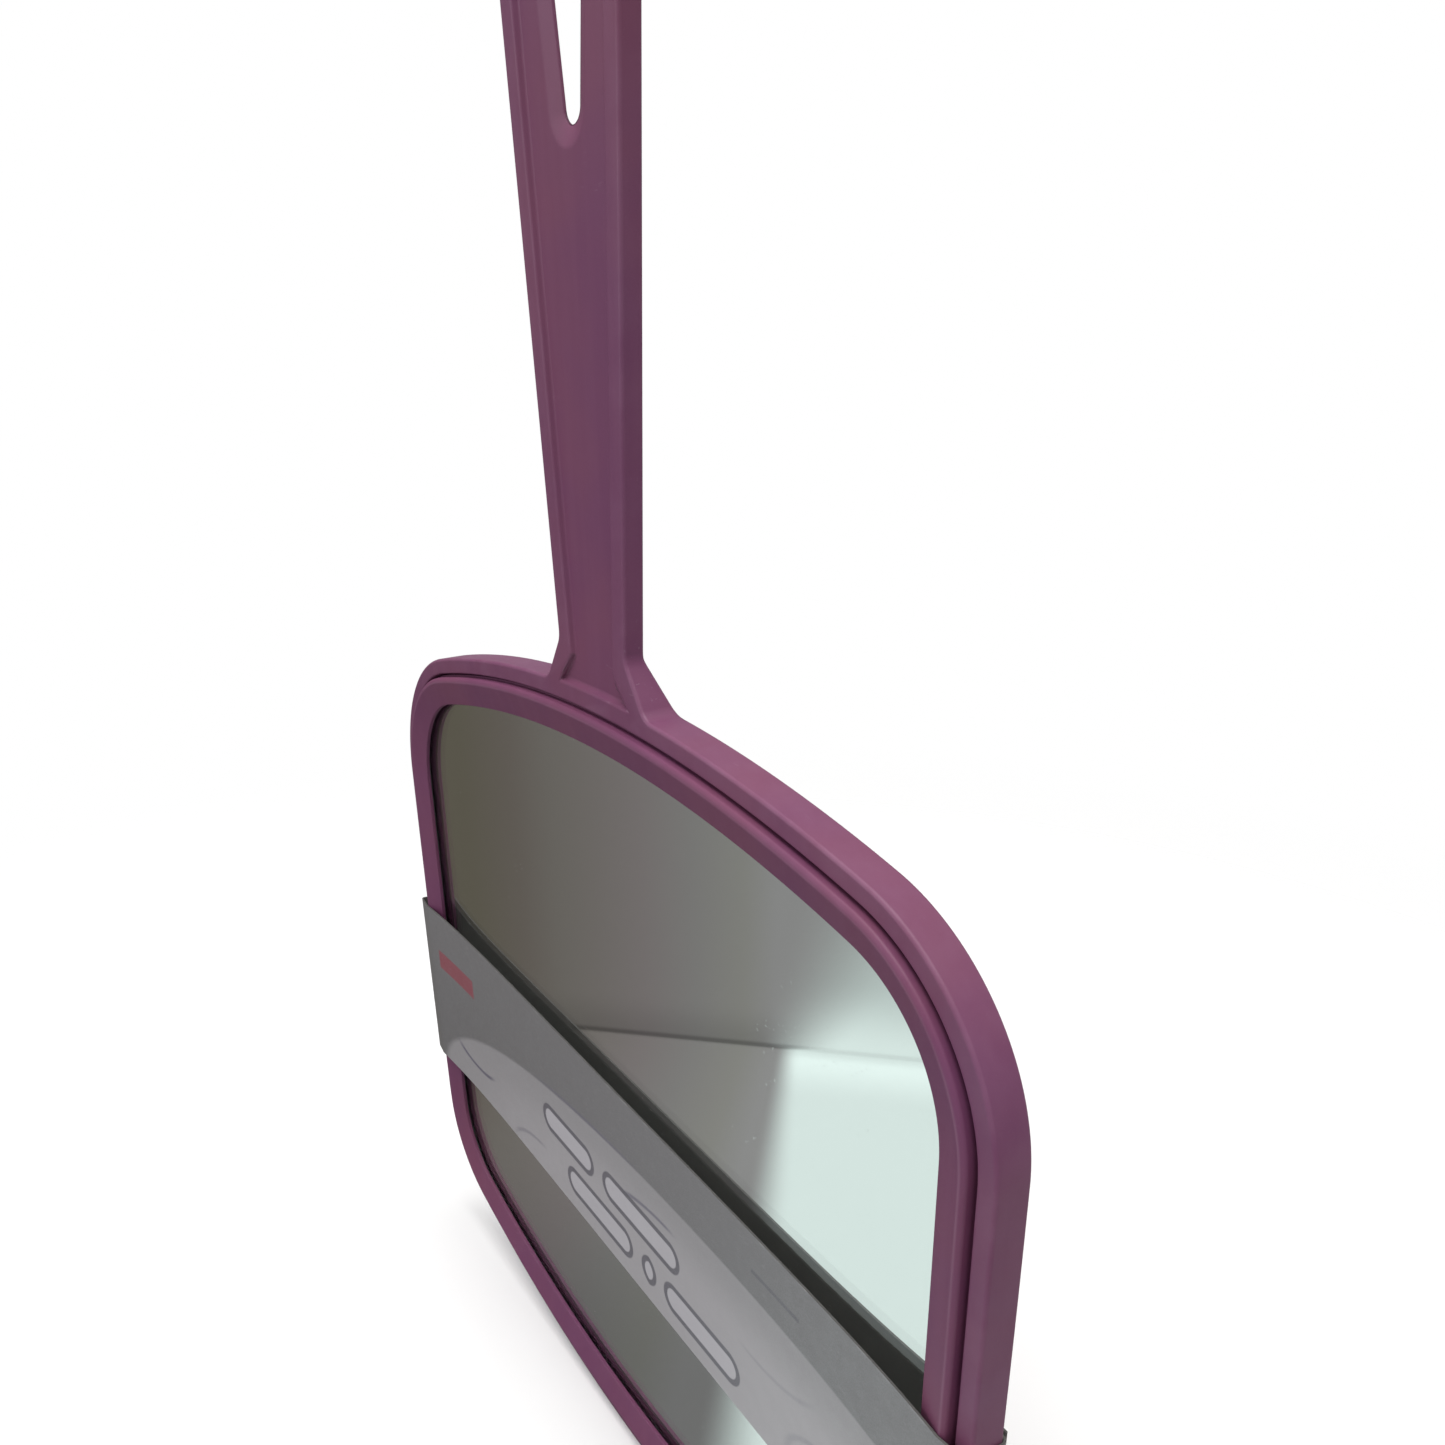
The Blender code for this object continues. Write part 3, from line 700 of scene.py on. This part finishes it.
GLASS_TINT = (0.955, 0.985, 0.97)
SILVER = (0.90, 0.91, 0.90)
SILVER_PALE = (0.93, 0.935, 0.925)
GROUND_GLASS = (0.10, 0.14, 0.12)
GROUND_GLASS_PALE = (0.20, 0.26, 0.23)
PAINT = (0.16, 0.17, 0.18)
PAINT_PALE = (0.22, 0.23, 0.24)
PAINT_PINHOLE = (0.5, 0.5, 0.5)


def clear_glass():
    """Clear float glass with a green tint, a few wiped smears and specks of dust."""
    tree = Tree("pane_glass")
    smear = tree.noise(9 * MM, detail=3.0, stretch=(3.0, 1.0, 1.0), distortion=1.0)
    dust = tree.noise(0.5 * MM, detail=0.0)
    specks = tree.product(tree.remap(dust, 0.80, 0.86), tree.remap(smear, 0.45, 0.6))
    tree.principled({
        "Base Color": GLASS_TINT,
        "Roughness": tree.total(tree.remap(smear, 0.5, 0.8, 0.0, 0.02), tree.product(specks, 0.25)),
        "IOR": 1.52,
        "Transmission Weight": 1.0,
    })
    return tree.material


def silvering():
    """The silver on the pane's back, seen through the glass."""
    tree = Tree("pane_silvering")
    mottle = tree.noise(40 * MM, detail=2.0)
    tree.principled({
        "Base Color": tree.mix(mottle, SILVER, SILVER_PALE),
        "Metallic": 1.0,
        "Roughness": tree.remap(tree.noise(3 * MM), 0.4, 0.9, 0.0, 0.008),
    })
    return tree.material


def ground_glass():
    """The pane's edge and arris, ground dull by the stone."""
    tree = Tree("pane_edge")
    grit = tree.noise(0.2 * MM, detail=3.0, stretch=(1.0, 4.0, 1.0))
    tree.principled({
        "Base Color": tree.mix(grit, GROUND_GLASS, GROUND_GLASS_PALE),
        "Roughness": tree.remap(grit, 0.3, 0.7, 0.5, 0.7),
        "Normal": tree.bump(grit, 0.02 * MM),
    })
    return tree.material


def backing_paint():
    """Grey protective paint over the silver, with brush-fine pinholes."""
    tree = Tree("mirror_backing_paint")
    coat = tree.noise(4 * MM, detail=4.0)
    holes = tree.remap(tree.noise(0.8 * MM, detail=0.0), 0.8, 0.86)
    tree.principled({
        "Base Color": tree.mix(holes, tree.mix(coat, PAINT, PAINT_PALE), PAINT_PINHOLE),
        "Roughness": tree.remap(coat, 0.3, 0.7, 0.5, 0.65),
        "Normal": tree.bump(coat, 0.03 * MM),
    })
    return tree.material


FOAM = (0.62, 0.61, 0.56)
FOAM_PALE = (0.82, 0.81, 0.77)
FOAM_CELL = 0.35 * MM
GLUE = (0.60, 0.52, 0.36)
GLUE_PALE = (0.78, 0.74, 0.62)


def foam():
    """White double-sided foam tape: open cells and a slightly yellowed skin."""
    tree = Tree("white_foam")
    cells = tree.node("TexVoronoi")
    tree.feed(cells.inputs["Vector"], tree.coords)
    tree.feed(cells.inputs["Scale"], 1.0 / FOAM_CELL)
    depth = tree.remap(cells.outputs["Distance"], 0.0, 0.6)
    tone = tree.noise(5 * MM, detail=3.0)
    tree.principled({
        "Base Color": tree.mix(tree.product(tone, depth), FOAM, FOAM_PALE),
        "Roughness": 0.9,
        "Subsurface Weight": 0.1,
        "Subsurface Radius": (MM, MM, MM),
        "Normal": tree.bump(depth, 0.08 * MM),
    })
    return tree.material


def glue():
    """Dried hot-melt glue: cloudy, amber and lumpy."""
    tree = Tree("dried_glue")
    cloud = tree.noise(2.5 * MM, detail=3.0)
    tree.principled({
        "Base Color": tree.mix(cloud, GLUE, GLUE_PALE),
        "Roughness": tree.remap(cloud, 0.3, 0.7, 0.25, 0.45),
        "Transmission Weight": 0.25,
        "Normal": tree.bump(cloud, 0.15 * MM),
    })
    return tree.material


# The printed card. s runs along the sleeve and t up it, in millimetres from its middle at the front.

PRINT_GREY = (0.155, 0.151, 0.155)
PRINT_GREY_DARK = (0.135, 0.132, 0.135)
PRINT_LIGHT = (0.275, 0.265, 0.274)
PRINT_LIGHT_CORE = (0.350, 0.335, 0.348)
PRINT_LINE = (0.125, 0.115, 0.155)
PRINT_INK = (0.075, 0.070, 0.090)
PRINT_BAR_FILL = (0.430, 0.415, 0.440)
PRINT_RED = (0.235, 0.055, 0.075)
PRINT_DOT = (0.45, 0.44, 0.47)
PRINT_FIBRE = (0.5, 0.5, 0.5)
PRINT_WORN = (0.55, 0.54, 0.54)
GREY_FROM = -18.0
GREY_TO = 18.0
SWOOSH_CENTRE = (30.0, -19.6)
SWOOSH_RADII = (105.0, 27.0)
# The line along the swoosh's edge: its place as a share of the radii, its reach either way, its ends.
SWOOSH_LINE = 1.004
SWOOSH_LINE_REACH = 0.02
SWOOSH_LINE_START = (-36.0, -18.0)
SWOOSH_LINE_END = (-4.0, 12.0)
SWOOSH_LINE_SHARE = 0.75
# Thin curved lines: centre, radii, first and last s, +1 for the upper half of the ellipse, colour share.
ARC_LINES = (
    ((-58.5, -7.6), (10.5, 4.3), -68.5, -49.5, -1, 1.3),
    ((-27.0, -21.6), (17.0, 9.3), -43.5, -27.0, 1, 0.45),
    ((18.0, -6.6), (22.0, 8.3), 0.0, 19.0, 1, 0.8),
    ((39.0, 3.4), (16.0, 7.8), 34.0, 55.0, -1, 0.25),
    ((62.0, -14.0), (15.0, 8.0), 45.0, 60.0, 1, 0.3),
)
# Plain capsule bars that stand where the real sleeve carries words: centre and half length.
BARS = (
    ((-18.3, -3.55), 9.6),
    ((6.8, -3.55), 12.2),
    ((-7.5, -11.9), 11.6),
    ((9.4, -11.9), 2.2),
    ((24.8, -11.9), 10.6),
)
BAR_HALF_HEIGHT = 2.9
BAR_OUTLINE = 0.8
RED_BAR_CENTRE = (-64.8, 7.2)
RED_BAR_HALF_SIZE = (7.6, 2.0)
SMALL_BAR_CENTRE = (43.8, 11.6)
SMALL_BAR_HALF_SIZE = (5.4, 0.28)
BOX_SOFTNESS = 0.15
FAR_FROM_BARS = 100.0


def inside_box(tree, s, t, centre, half_size):
    """1 inside a plain rectangle, falling to 0 just outside it."""
    over_s = tree.math("SUBTRACT", tree.off(s, centre[0]), half_size[0])
    over_t = tree.math("SUBTRACT", tree.off(t, centre[1]), half_size[1])
    return tree.remap(tree.math("MAXIMUM", over_s, over_t), 0.0, BOX_SOFTNESS, 1.0, 0.0)


def hypotenuse(tree, across, up):
    squares = tree.total(tree.product(across, across), tree.product(up, up))
    return tree.math("SQRT", squares)


def ellipse_reach(tree, s, t, centre, radii):
    """1 on the ellipse, less inside it and more outside."""
    across = tree.math("DIVIDE", tree.math("SUBTRACT", s, centre[0]), radii[0])
    up = tree.math("DIVIDE", tree.math("SUBTRACT", t, centre[1]), radii[1])
    return hypotenuse(tree, across, up)


def arc_line(tree, s, t, centre, radii, first, last, side):
    """A thin line along one half of an ellipse, fading in and out at its ends."""
    distance = tree.product(tree.off(ellipse_reach(tree, s, t, centre, radii), 1.0), radii[1])
    line = tree.remap(distance, 0.10, 0.55, 1.0, 0.0)
    half = tree.remap(tree.product(tree.math("SUBTRACT", t, centre[1]), side), -0.3, 0.3)
    fade = (last - first) / 4
    start = tree.remap(s, first, first + fade)
    end = tree.remap(s, last - fade, last, 1.0, 0.0)
    return tree.product(line, half, start, end)


def bar_distance(tree, s, t, centre, half_length):
    """Distance outward from a capsule, negative inside it."""
    past_end = tree.math("SUBTRACT", tree.off(s, centre[0]), half_length - BAR_HALF_HEIGHT)
    past_end = tree.math("MAXIMUM", past_end, 0.0)
    up = tree.math("SUBTRACT", t, centre[1])
    return tree.math("SUBTRACT", hypotenuse(tree, past_end, up), BAR_HALF_HEIGHT)


def print_artwork(tree, s, t):
    """Grey card with a pale swoosh, curved lines and plain bars."""
    reach = ellipse_reach(tree, s, t, SWOOSH_CENTRE, SWOOSH_RADII)
    grey = tree.mix(tree.remap(t, GREY_FROM, GREY_TO), PRINT_GREY_DARK, PRINT_GREY)
    light = tree.mix(tree.remap(reach, 0.55, 0.97, 1.0, 0.0), PRINT_LIGHT, PRINT_LIGHT_CORE)
    colour = tree.mix(tree.remap(reach, 0.982, 1.006, 1.0, 0.0), grey, light)
    line = tree.remap(tree.off(reach, SWOOSH_LINE), 0.0, SWOOSH_LINE_REACH, 1.0, 0.0)
    ends = tree.product(tree.remap(s, *SWOOSH_LINE_START), tree.remap(s, *SWOOSH_LINE_END, 1.0, 0.0))
    colour = tree.mix(tree.product(line, ends, SWOOSH_LINE_SHARE), colour, PRINT_LINE)
    for centre, radii, first, last, side, share in ARC_LINES:
        line = arc_line(tree, s, t, centre, radii, first, last, side)
        colour = tree.mix(tree.product(line, share), colour, PRINT_LINE)
    distance = FAR_FROM_BARS
    for centre, half_length in BARS:
        distance = tree.math("MINIMUM", distance, bar_distance(tree, s, t, centre, half_length))
    colour = tree.mix(tree.remap(distance, 0.0, 0.3, 0.85, 0.0), colour, PRINT_INK)
    inner = tree.remap(distance, -BAR_OUTLINE - 0.25, -BAR_OUTLINE, 1.0, 0.0)
    colour = tree.mix(inner, colour, PRINT_BAR_FILL)
    red = inside_box(tree, s, t, RED_BAR_CENTRE, RED_BAR_HALF_SIZE)
    colour = tree.mix(red, colour, PRINT_RED)
    small = inside_box(tree, s, t, SMALL_BAR_CENTRE, SMALL_BAR_HALF_SIZE)
    return tree.mix(tree.product(small, 0.6), colour, PRINT_INK)


def printed_card():
    """Clay-coated card: artwork at the front, plain grey elsewhere, worn folds and faint fibres."""
    tree = Tree("printed_card")
    x, depth, z = head_coordinates(tree)
    level = tree.total(z, tree.product(x, -SLEEVE_SKEW), tree.product(depth, -SLEEVE_LEAN))
    t = tree.math("SUBTRACT", level, SLEEVE_CENTRE_Z / MM)
    art = print_artwork(tree, x, t)
    plain = tree.mix(tree.remap(t, -16.0, 4.0), PRINT_LIGHT, PRINT_GREY)
    colour = tree.mix(tree.remap(depth, 3.0, 3.4), art, plain)
    fibre = tree.noise(0.35 * MM, detail=3.0, stretch=(4.0, 1.0, 1.0))
    dots = tree.noise(0.16 * MM, detail=0.0)
    colour = tree.mix(tree.remap(dots, 0.3, 0.7, 0.0, 0.10), colour, PRINT_DOT)
    colour = tree.mix(tree.remap(fibre, 0.55, 0.8, 0.0, 0.08), colour, PRINT_FIBRE)
    side = HEAD_HALF_WIDTH / MM
    fold = tree.remap(tree.off(x, 0.0), side - 0.6, side + 0.1)
    fold = tree.product(fold, tree.remap(depth, -1.2, 1.5, 1.0, 0.0))
    wear = tree.product(fold, tree.remap(tree.noise(1.2 * MM, detail=4.0), 0.45, 0.7, 0.0, 0.6))
    half_height = SLEEVE_HEIGHT / MM / 2
    edge = tree.remap(tree.off(t, 0.0), half_height - 0.7, half_height)
    edge = tree.product(edge, tree.remap(tree.noise(2.0 * MM, detail=4.0), 0.5, 0.7, 0.0, 0.18))
    colour = tree.mix(tree.math("MAXIMUM", wear, edge), colour, PRINT_WORN)
    buckle = tree.noise(18 * MM, detail=2.0, stretch=(1.0, 1.0, 2.5))
    normal = tree.bump(buckle, 0.25 * MM, 0.5)
    normal = tree.bump(fibre, 0.01 * MM, 0.6, normal)
    tree.principled({
        "Base Color": colour,
        "Roughness": tree.remap(tree.noise(3 * MM, detail=3.0), 0.3, 0.7, 0.36, 0.46),
        "Specular IOR Level": 0.45,
        "Coat Weight": 0.12,
        "Coat Roughness": 0.3,
        "Normal": normal,
    })
    return tree.material


BOARD = (0.050, 0.048, 0.045)
BOARD_PALE = (0.070, 0.068, 0.064)
BOARD_FLECK = (0.05, 0.05, 0.05)
BOARD_PAINTED_GLOW = (0.9, 0.88, 0.84)
BOARD_PAINTED_GLOW_PALE = (1.0, 0.98, 0.94)
CARD_PAINTED_GLOW_STRENGTH = 0.024
CUT_EDGE = (0.060, 0.058, 0.056)
CUT_EDGE_PALE = (0.115, 0.112, 0.108)


def plain_card():
    """The sleeve's unprinted inside: dull grey board with flecks, and a faint painted glow that stands in
    for light coming through the card.
    """
    tree = Tree("plain_card")
    fibre = tree.noise(0.5 * MM, detail=4.0, stretch=(5.0, 1.0, 1.0))
    flecks = tree.remap(tree.noise(0.6 * MM, detail=1.0), 0.68, 0.76)
    tree.principled({
        # Painted glow: the inside gives off a little light of its own, in place of light shining through the
        # card.
        "Emission Color": tree.mix(fibre, BOARD_PAINTED_GLOW, BOARD_PAINTED_GLOW_PALE),
        "Emission Strength": CARD_PAINTED_GLOW_STRENGTH,
        "Base Color": tree.mix(tree.product(flecks, 0.5), tree.mix(fibre, BOARD, BOARD_PALE), BOARD_FLECK),
        "Roughness": 0.85,
        "Normal": tree.bump(fibre, 0.03 * MM),
    })
    return tree.material


def card_edge():
    """The cut edge of the board, where its pale layers show."""
    tree = Tree("card_edge")
    layers = tree.noise(0.2 * MM, detail=3.0, stretch=(6.0, 1.0, 1.0))
    tree.principled({
        "Base Color": tree.mix(layers, CUT_EDGE, CUT_EDGE_PALE),
        "Roughness": 0.85,
        "Normal": tree.bump(layers, 0.04 * MM),
    })
    return tree.material


# Floor, light and camera.

FLOOR_SIZE = 12.0
FLOOR_CELLS = 4
FLOOR_COLOUR = (0.88, 0.88, 0.88)
FLOOR_COLOUR_PALE = (0.90, 0.90, 0.895)
FLOOR_BOUNCE_COLOUR = (0.45, 0.45, 0.45)
FLOOR_CLEAR_RADIUS = 0.16
FLOOR_GONE_RADIUS = 0.42
WORLD_FILL = 0.42

# The reflected surroundings: glowing cards that paint the reflection of a wall standing on the floor in
# front of the mirror, to its left, and of the table before it, with their light and shade painted in.
WALL_START = (-130.2 * MM, -55.9 * MM)
WALL_DIRECTION = (0.7167, -0.6974)
WALL_FROM = -110.0 * MM
WALL_TO = 190.0 * MM
WALL_HEIGHT = 260.0 * MM
TABLE_REACH = 150.0 * MM
CARDS_LIFT = 0.3 * MM
# Colours of their dim part at places along the wall, in millimetres, and of their bright part.
DIM_FROM = -40.0
DIM_TO = 60.0
DIM_COLOURS = (
    (-30.0, (0.115, 0.103, 0.080)),
    (-16.0, (0.130, 0.113, 0.100)),
    (-5.0, (0.152, 0.138, 0.127)),
    (6.0, (0.167, 0.150, 0.143)),
    (20.0, (0.189, 0.168, 0.168)),
    (35.0, (0.206, 0.198, 0.195)),
    (49.0, (0.233, 0.228, 0.215)),
    (58.0, (0.265, 0.260, 0.262)),
)
BRIGHT_COLOUR = (0.754, 0.856, 0.836)
# Fades over distance in millimetres: first and last place, value before the first, value past the last.
ON_TABLE = (0.5, 1.5, 0.0, 1.0)
ON_WALL = (0.5, 1.5, 1.0, 0.0)
# These fades paint light and shade into the reflection: shade at the wall's foot, glare on the table near
# it, the table dimming further out and the bright part dimming up the wall.
DIM_TABLE = (45.0, 125.0, 1.1, 0.66)
DIM_WALL_FOOT_SHADE = (0.0, 14.0, 0.82, 1.0)
BRIGHT_TABLE_GLARE = (4.0, 24.0, 1.2, 1.0)
BRIGHT_TABLE_FOOT_SHADE = (1.0, 6.0, 0.85, 1.0)
BRIGHT_WALL = (0.0, 25.0, 1.0, 0.68)
# Painted shade: a dark line along the corner where the wall meets the table.
SEAM_SHADE = (0.3, 1.5, 0.4, 0.0)
SEAM_SHADE_IN_BRIGHT = (0.0, 1.0, 1.0, 0.35)
# The border of the bright part on the wall and the table, a painted shadow edge: its place, its lean, its
# blur, the blur's growth.
BORDER_PLACE = (-1.0, 1.0, 53.0, 58.5)
WALL_BORDER_LEAN = 0.2
TABLE_BORDER_LEAN = 0.04
BORDER_BLUR = (-1.0, 1.0, 24.0, 7.0)
WALL_BLUR_GROWTH = 0.6
TABLE_BLUR_GROWTH = 0.06

# Name, place, width, power and colour.
LIGHTS = (
    ("stage_key", (0.12, -0.10, 0.95), 0.8, 9.5, (1.0, 0.99, 0.98)),
    ("stage_fill", (-0.4, -0.85, 0.5), 0.6, 3.2, (0.95, 0.96, 1.0)),
    ("stage_side", (0.9, 0.05, 0.35), 0.6, 0.4, (1.0, 0.93, 0.9)),
)
LIGHTS_AIM_HEIGHT = 20.0 * MM


def make_floor():
    """A plain pale floor that fades into the white surroundings."""
    tree = Tree("stage_floor")
    x, y, _z = tree.split(tree.coords)
    seen = tree.node("LightPath").outputs["Is Camera Ray"]
    shown = tree.mix(tree.noise(0.25, detail=2.0), FLOOR_COLOUR, FLOOR_COLOUR_PALE)
    surface = tree.shader("BsdfPrincipled", {
        "Base Color": tree.mix(seen, FLOOR_BOUNCE_COLOUR, shown),
        "Roughness": 0.75,
        "Normal": tree.bump(tree.noise(1.5 * MM, detail=3.0), 0.02 * MM),
    })
    gone = tree.remap(hypotenuse(tree, x, y), FLOOR_CLEAR_RADIUS, FLOOR_GONE_RADIUS)
    tree.show(tree.blend(gone, surface, tree.shader("BsdfTransparent", {})))
    builder = bmesh.new()
    bmesh.ops.create_grid(builder, x_segments=FLOOR_CELLS, y_segments=FLOOR_CELLS, size=FLOOR_SIZE / 2)
    floor = new_object("stage_floor", builder)
    floor.data.materials.append(tree.material)


def dim_colour(tree, along):
    """Colour of the dim part, from one end of the wall to the other."""
    ramp = tree.node("ValToRGB")
    tree.feed(ramp.inputs[0], tree.remap(along, DIM_FROM, DIM_TO, smooth=False))
    stops = ramp.color_ramp.elements
    stops.remove(stops[1])
    for place, colour in DIM_COLOURS:
        stops.new((place - DIM_FROM) / (DIM_TO - DIM_FROM)).color = (*colour, 1.0)
    stops.remove(stops[0])
    return ramp.outputs[0]


def reflection_material():
    """Painted reflection: light given off by the reflected wall and table, dim at one end, bright past a
    soft border that paints a shadow edge.
    """
    tree = Tree("stage_reflection")
    along, out, up = [tree.math("DIVIDE", value, MM) for value in tree.split(tree.coords)]
    on_table = tree.product(tree.remap(out, *DIM_TABLE), tree.remap(out, *ON_TABLE))
    on_wall = tree.product(tree.remap(up, *DIM_WALL_FOOT_SHADE), tree.remap(out, *ON_WALL))
    strength = tree.total(on_table, on_wall)
    dim = tree.shader("Emission", {"Color": dim_colour(tree, along), "Strength": strength})
    glare = tree.product(tree.remap(out, *BRIGHT_TABLE_GLARE), tree.remap(out, *BRIGHT_TABLE_FOOT_SHADE))
    strength = tree.product(glare, tree.remap(up, *BRIGHT_WALL))
    bright = tree.shader("Emission", {"Color": BRIGHT_COLOUR, "Strength": strength})
    past_foot = tree.math("SUBTRACT", out, up)
    lean = tree.total(tree.product(up, WALL_BORDER_LEAN), tree.product(out, TABLE_BORDER_LEAN))
    border = tree.total(lean, tree.remap(past_foot, *BORDER_PLACE))
    growth = tree.total(tree.product(up, WALL_BLUR_GROWTH), tree.product(out, TABLE_BLUR_GROWTH))
    blur = tree.total(growth, tree.remap(past_foot, *BORDER_BLUR))
    share = tree.remap(along, border, tree.total(border, blur))
    # Painted shade along the corner where the wall meets the table.
    from_foot = tree.total(tree.off(up, 0.0), tree.off(out, 0.0))
    seam_shade = tree.product(tree.remap(from_foot, *SEAM_SHADE), tree.remap(share, *SEAM_SHADE_IN_BRIGHT))
    dark = tree.shader("Emission", {"Strength": 0.0})
    tree.show(tree.blend(seam_shade, tree.blend(share, dim, bright), dark))
    return tree.material


def make_reflection_cards():
    """Two glowing cards that only reflections show, painting a wall and the stretch of table before it."""
    builder = bmesh.new()
    base = [builder.verts.new((u, 0.0, 0.0)) for u in (WALL_FROM, WALL_TO)]
    top = [builder.verts.new((u, 0.0, WALL_HEIGHT)) for u in (WALL_TO, WALL_FROM)]
    near = [builder.verts.new((u, TABLE_REACH, 0.0)) for u in (WALL_TO, WALL_FROM)]
    builder.faces.new(base + top)
    builder.faces.new(base + near)
    cards = new_object("stage_reflection_cards", builder)
    cards.data.materials.append(reflection_material())
    cards.location = at(*WALL_START, CARDS_LIFT - HEAD_HALF_HEIGHT)
    cards.rotation_euler.z = math.atan2(WALL_DIRECTION[1], WALL_DIRECTION[0])
    cards.visible_camera = False
    cards.visible_diffuse = False
    cards.visible_shadow = False


def area_light(name, location, size, power, colour):
    data = bpy.data.lights.new(name, "AREA")
    data.shape = "DISK"
    data.size = size
    data.energy = power
    data.color = colour
    light = bpy.data.objects.new(name, data)
    light.location = location
    aim = at(0.0, 0.0, LIGHTS_AIM_HEIGHT) - Vector(location)
    light.rotation_euler = aim.to_track_quat("-Z", "Y").to_euler()
    bpy.context.scene.collection.objects.link(light)


def make_world():
    """White to the camera, dimmer as a light."""
    world = bpy.data.worlds.new("stage_world")
    world.use_nodes = True
    nodes = world.node_tree.nodes
    links = world.node_tree.links
    background = nodes["Background"]
    background.inputs["Color"].default_value = (1.0, 1.0, 1.0, 1.0)
    path = nodes.new("ShaderNodeLightPath")
    strength = nodes.new("ShaderNodeMapRange")
    strength.inputs["To Min"].default_value = WORLD_FILL
    strength.inputs["To Max"].default_value = 1.0
    links.new(path.outputs["Is Camera Ray"], strength.inputs["Value"])
    links.new(strength.outputs[0], background.inputs["Strength"])
    bpy.context.scene.world = world


def make_camera():
    data = bpy.data.cameras.new("camera")
    data.lens = CAMERA_LENS
    data.shift_x, data.shift_y = CAMERA_SHIFT
    data.clip_start = CAMERA_CLIP_START
    camera = bpy.data.objects.new("camera", data)
    flat = math.cos(CAMERA_ELEVATION)
    forward = Vector((
        -math.sin(CAMERA_AZIMUTH) * flat,
        math.cos(CAMERA_AZIMUTH) * flat,
        -math.sin(CAMERA_ELEVATION),
    ))
    level = forward.to_track_quat("-Z", "Y").to_matrix()
    rolled = level @ Matrix.Rotation(-CAMERA_ROLL, 3, "Z")
    camera.matrix_world = Matrix.Translation(at(*CAMERA_OFFSET)) @ rolled.to_4x4()
    bpy.context.scene.collection.objects.link(camera)
    bpy.context.scene.camera = camera


# The object.

FLAT_ENOUGH = 0.99
CLEAR_FACE = 1
SILVERED_FACE = 2


def dress(thing, body, materials, replaced=()):
    thing.data.materials.clear()
    for material in materials:
        thing.data.materials.append(material)
    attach(thing, body)
    if replaced:
        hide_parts(*replaced)


def dress_pane(pane):
    """Clear at the pane's front, silvered at its back and ground at its edge."""
    dress(pane, "mirror", [ground_glass(), clear_glass(), silvering()], ["mirror_glass"])
    for face in pane.data.polygons:
        if abs(face.normal.y) > FLAT_ENOUGH:
            face.material_index = CLEAR_FACE if face.normal.y < 0 else SILVERED_FACE


def paint_node(name, material):
    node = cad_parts[name]
    node.data.materials.clear()
    node.data.materials.append(material)


def main():
    bpy.context.scene.view_settings.view_transform = "Standard"
    frame_plastic = plum_plastic("plum_plastic_frame", 1.0)
    ring_plastic = plum_plastic("plum_plastic_ring", 0.0)
    dress(make_frame(), "mirror", [frame_plastic], ["handle_frame"])
    dress(make_ring(), "mirror", [ring_plastic], ["bezel_ring"])
    dress_pane(make_pane())
    dress(make_backing_paint(), "mirror", [backing_paint()])
    card = make_sleeve()
    dress(card, "sleeve", [printed_card(), plain_card(), card_edge()], ["retail_sleeve"])
    give_card_thickness(card)
    white_foam = foam()
    for height in ("upper", "lower"):
        for side in ("left", "right"):
            paint_node(f"foam_pad_{height}_{side}", white_foam)
    paint_node("sleeve_glue_strip", glue())
    make_floor()
    make_reflection_cards()
    make_world()
    for light in LIGHTS:
        area_light(*light)
    make_camera()


main()
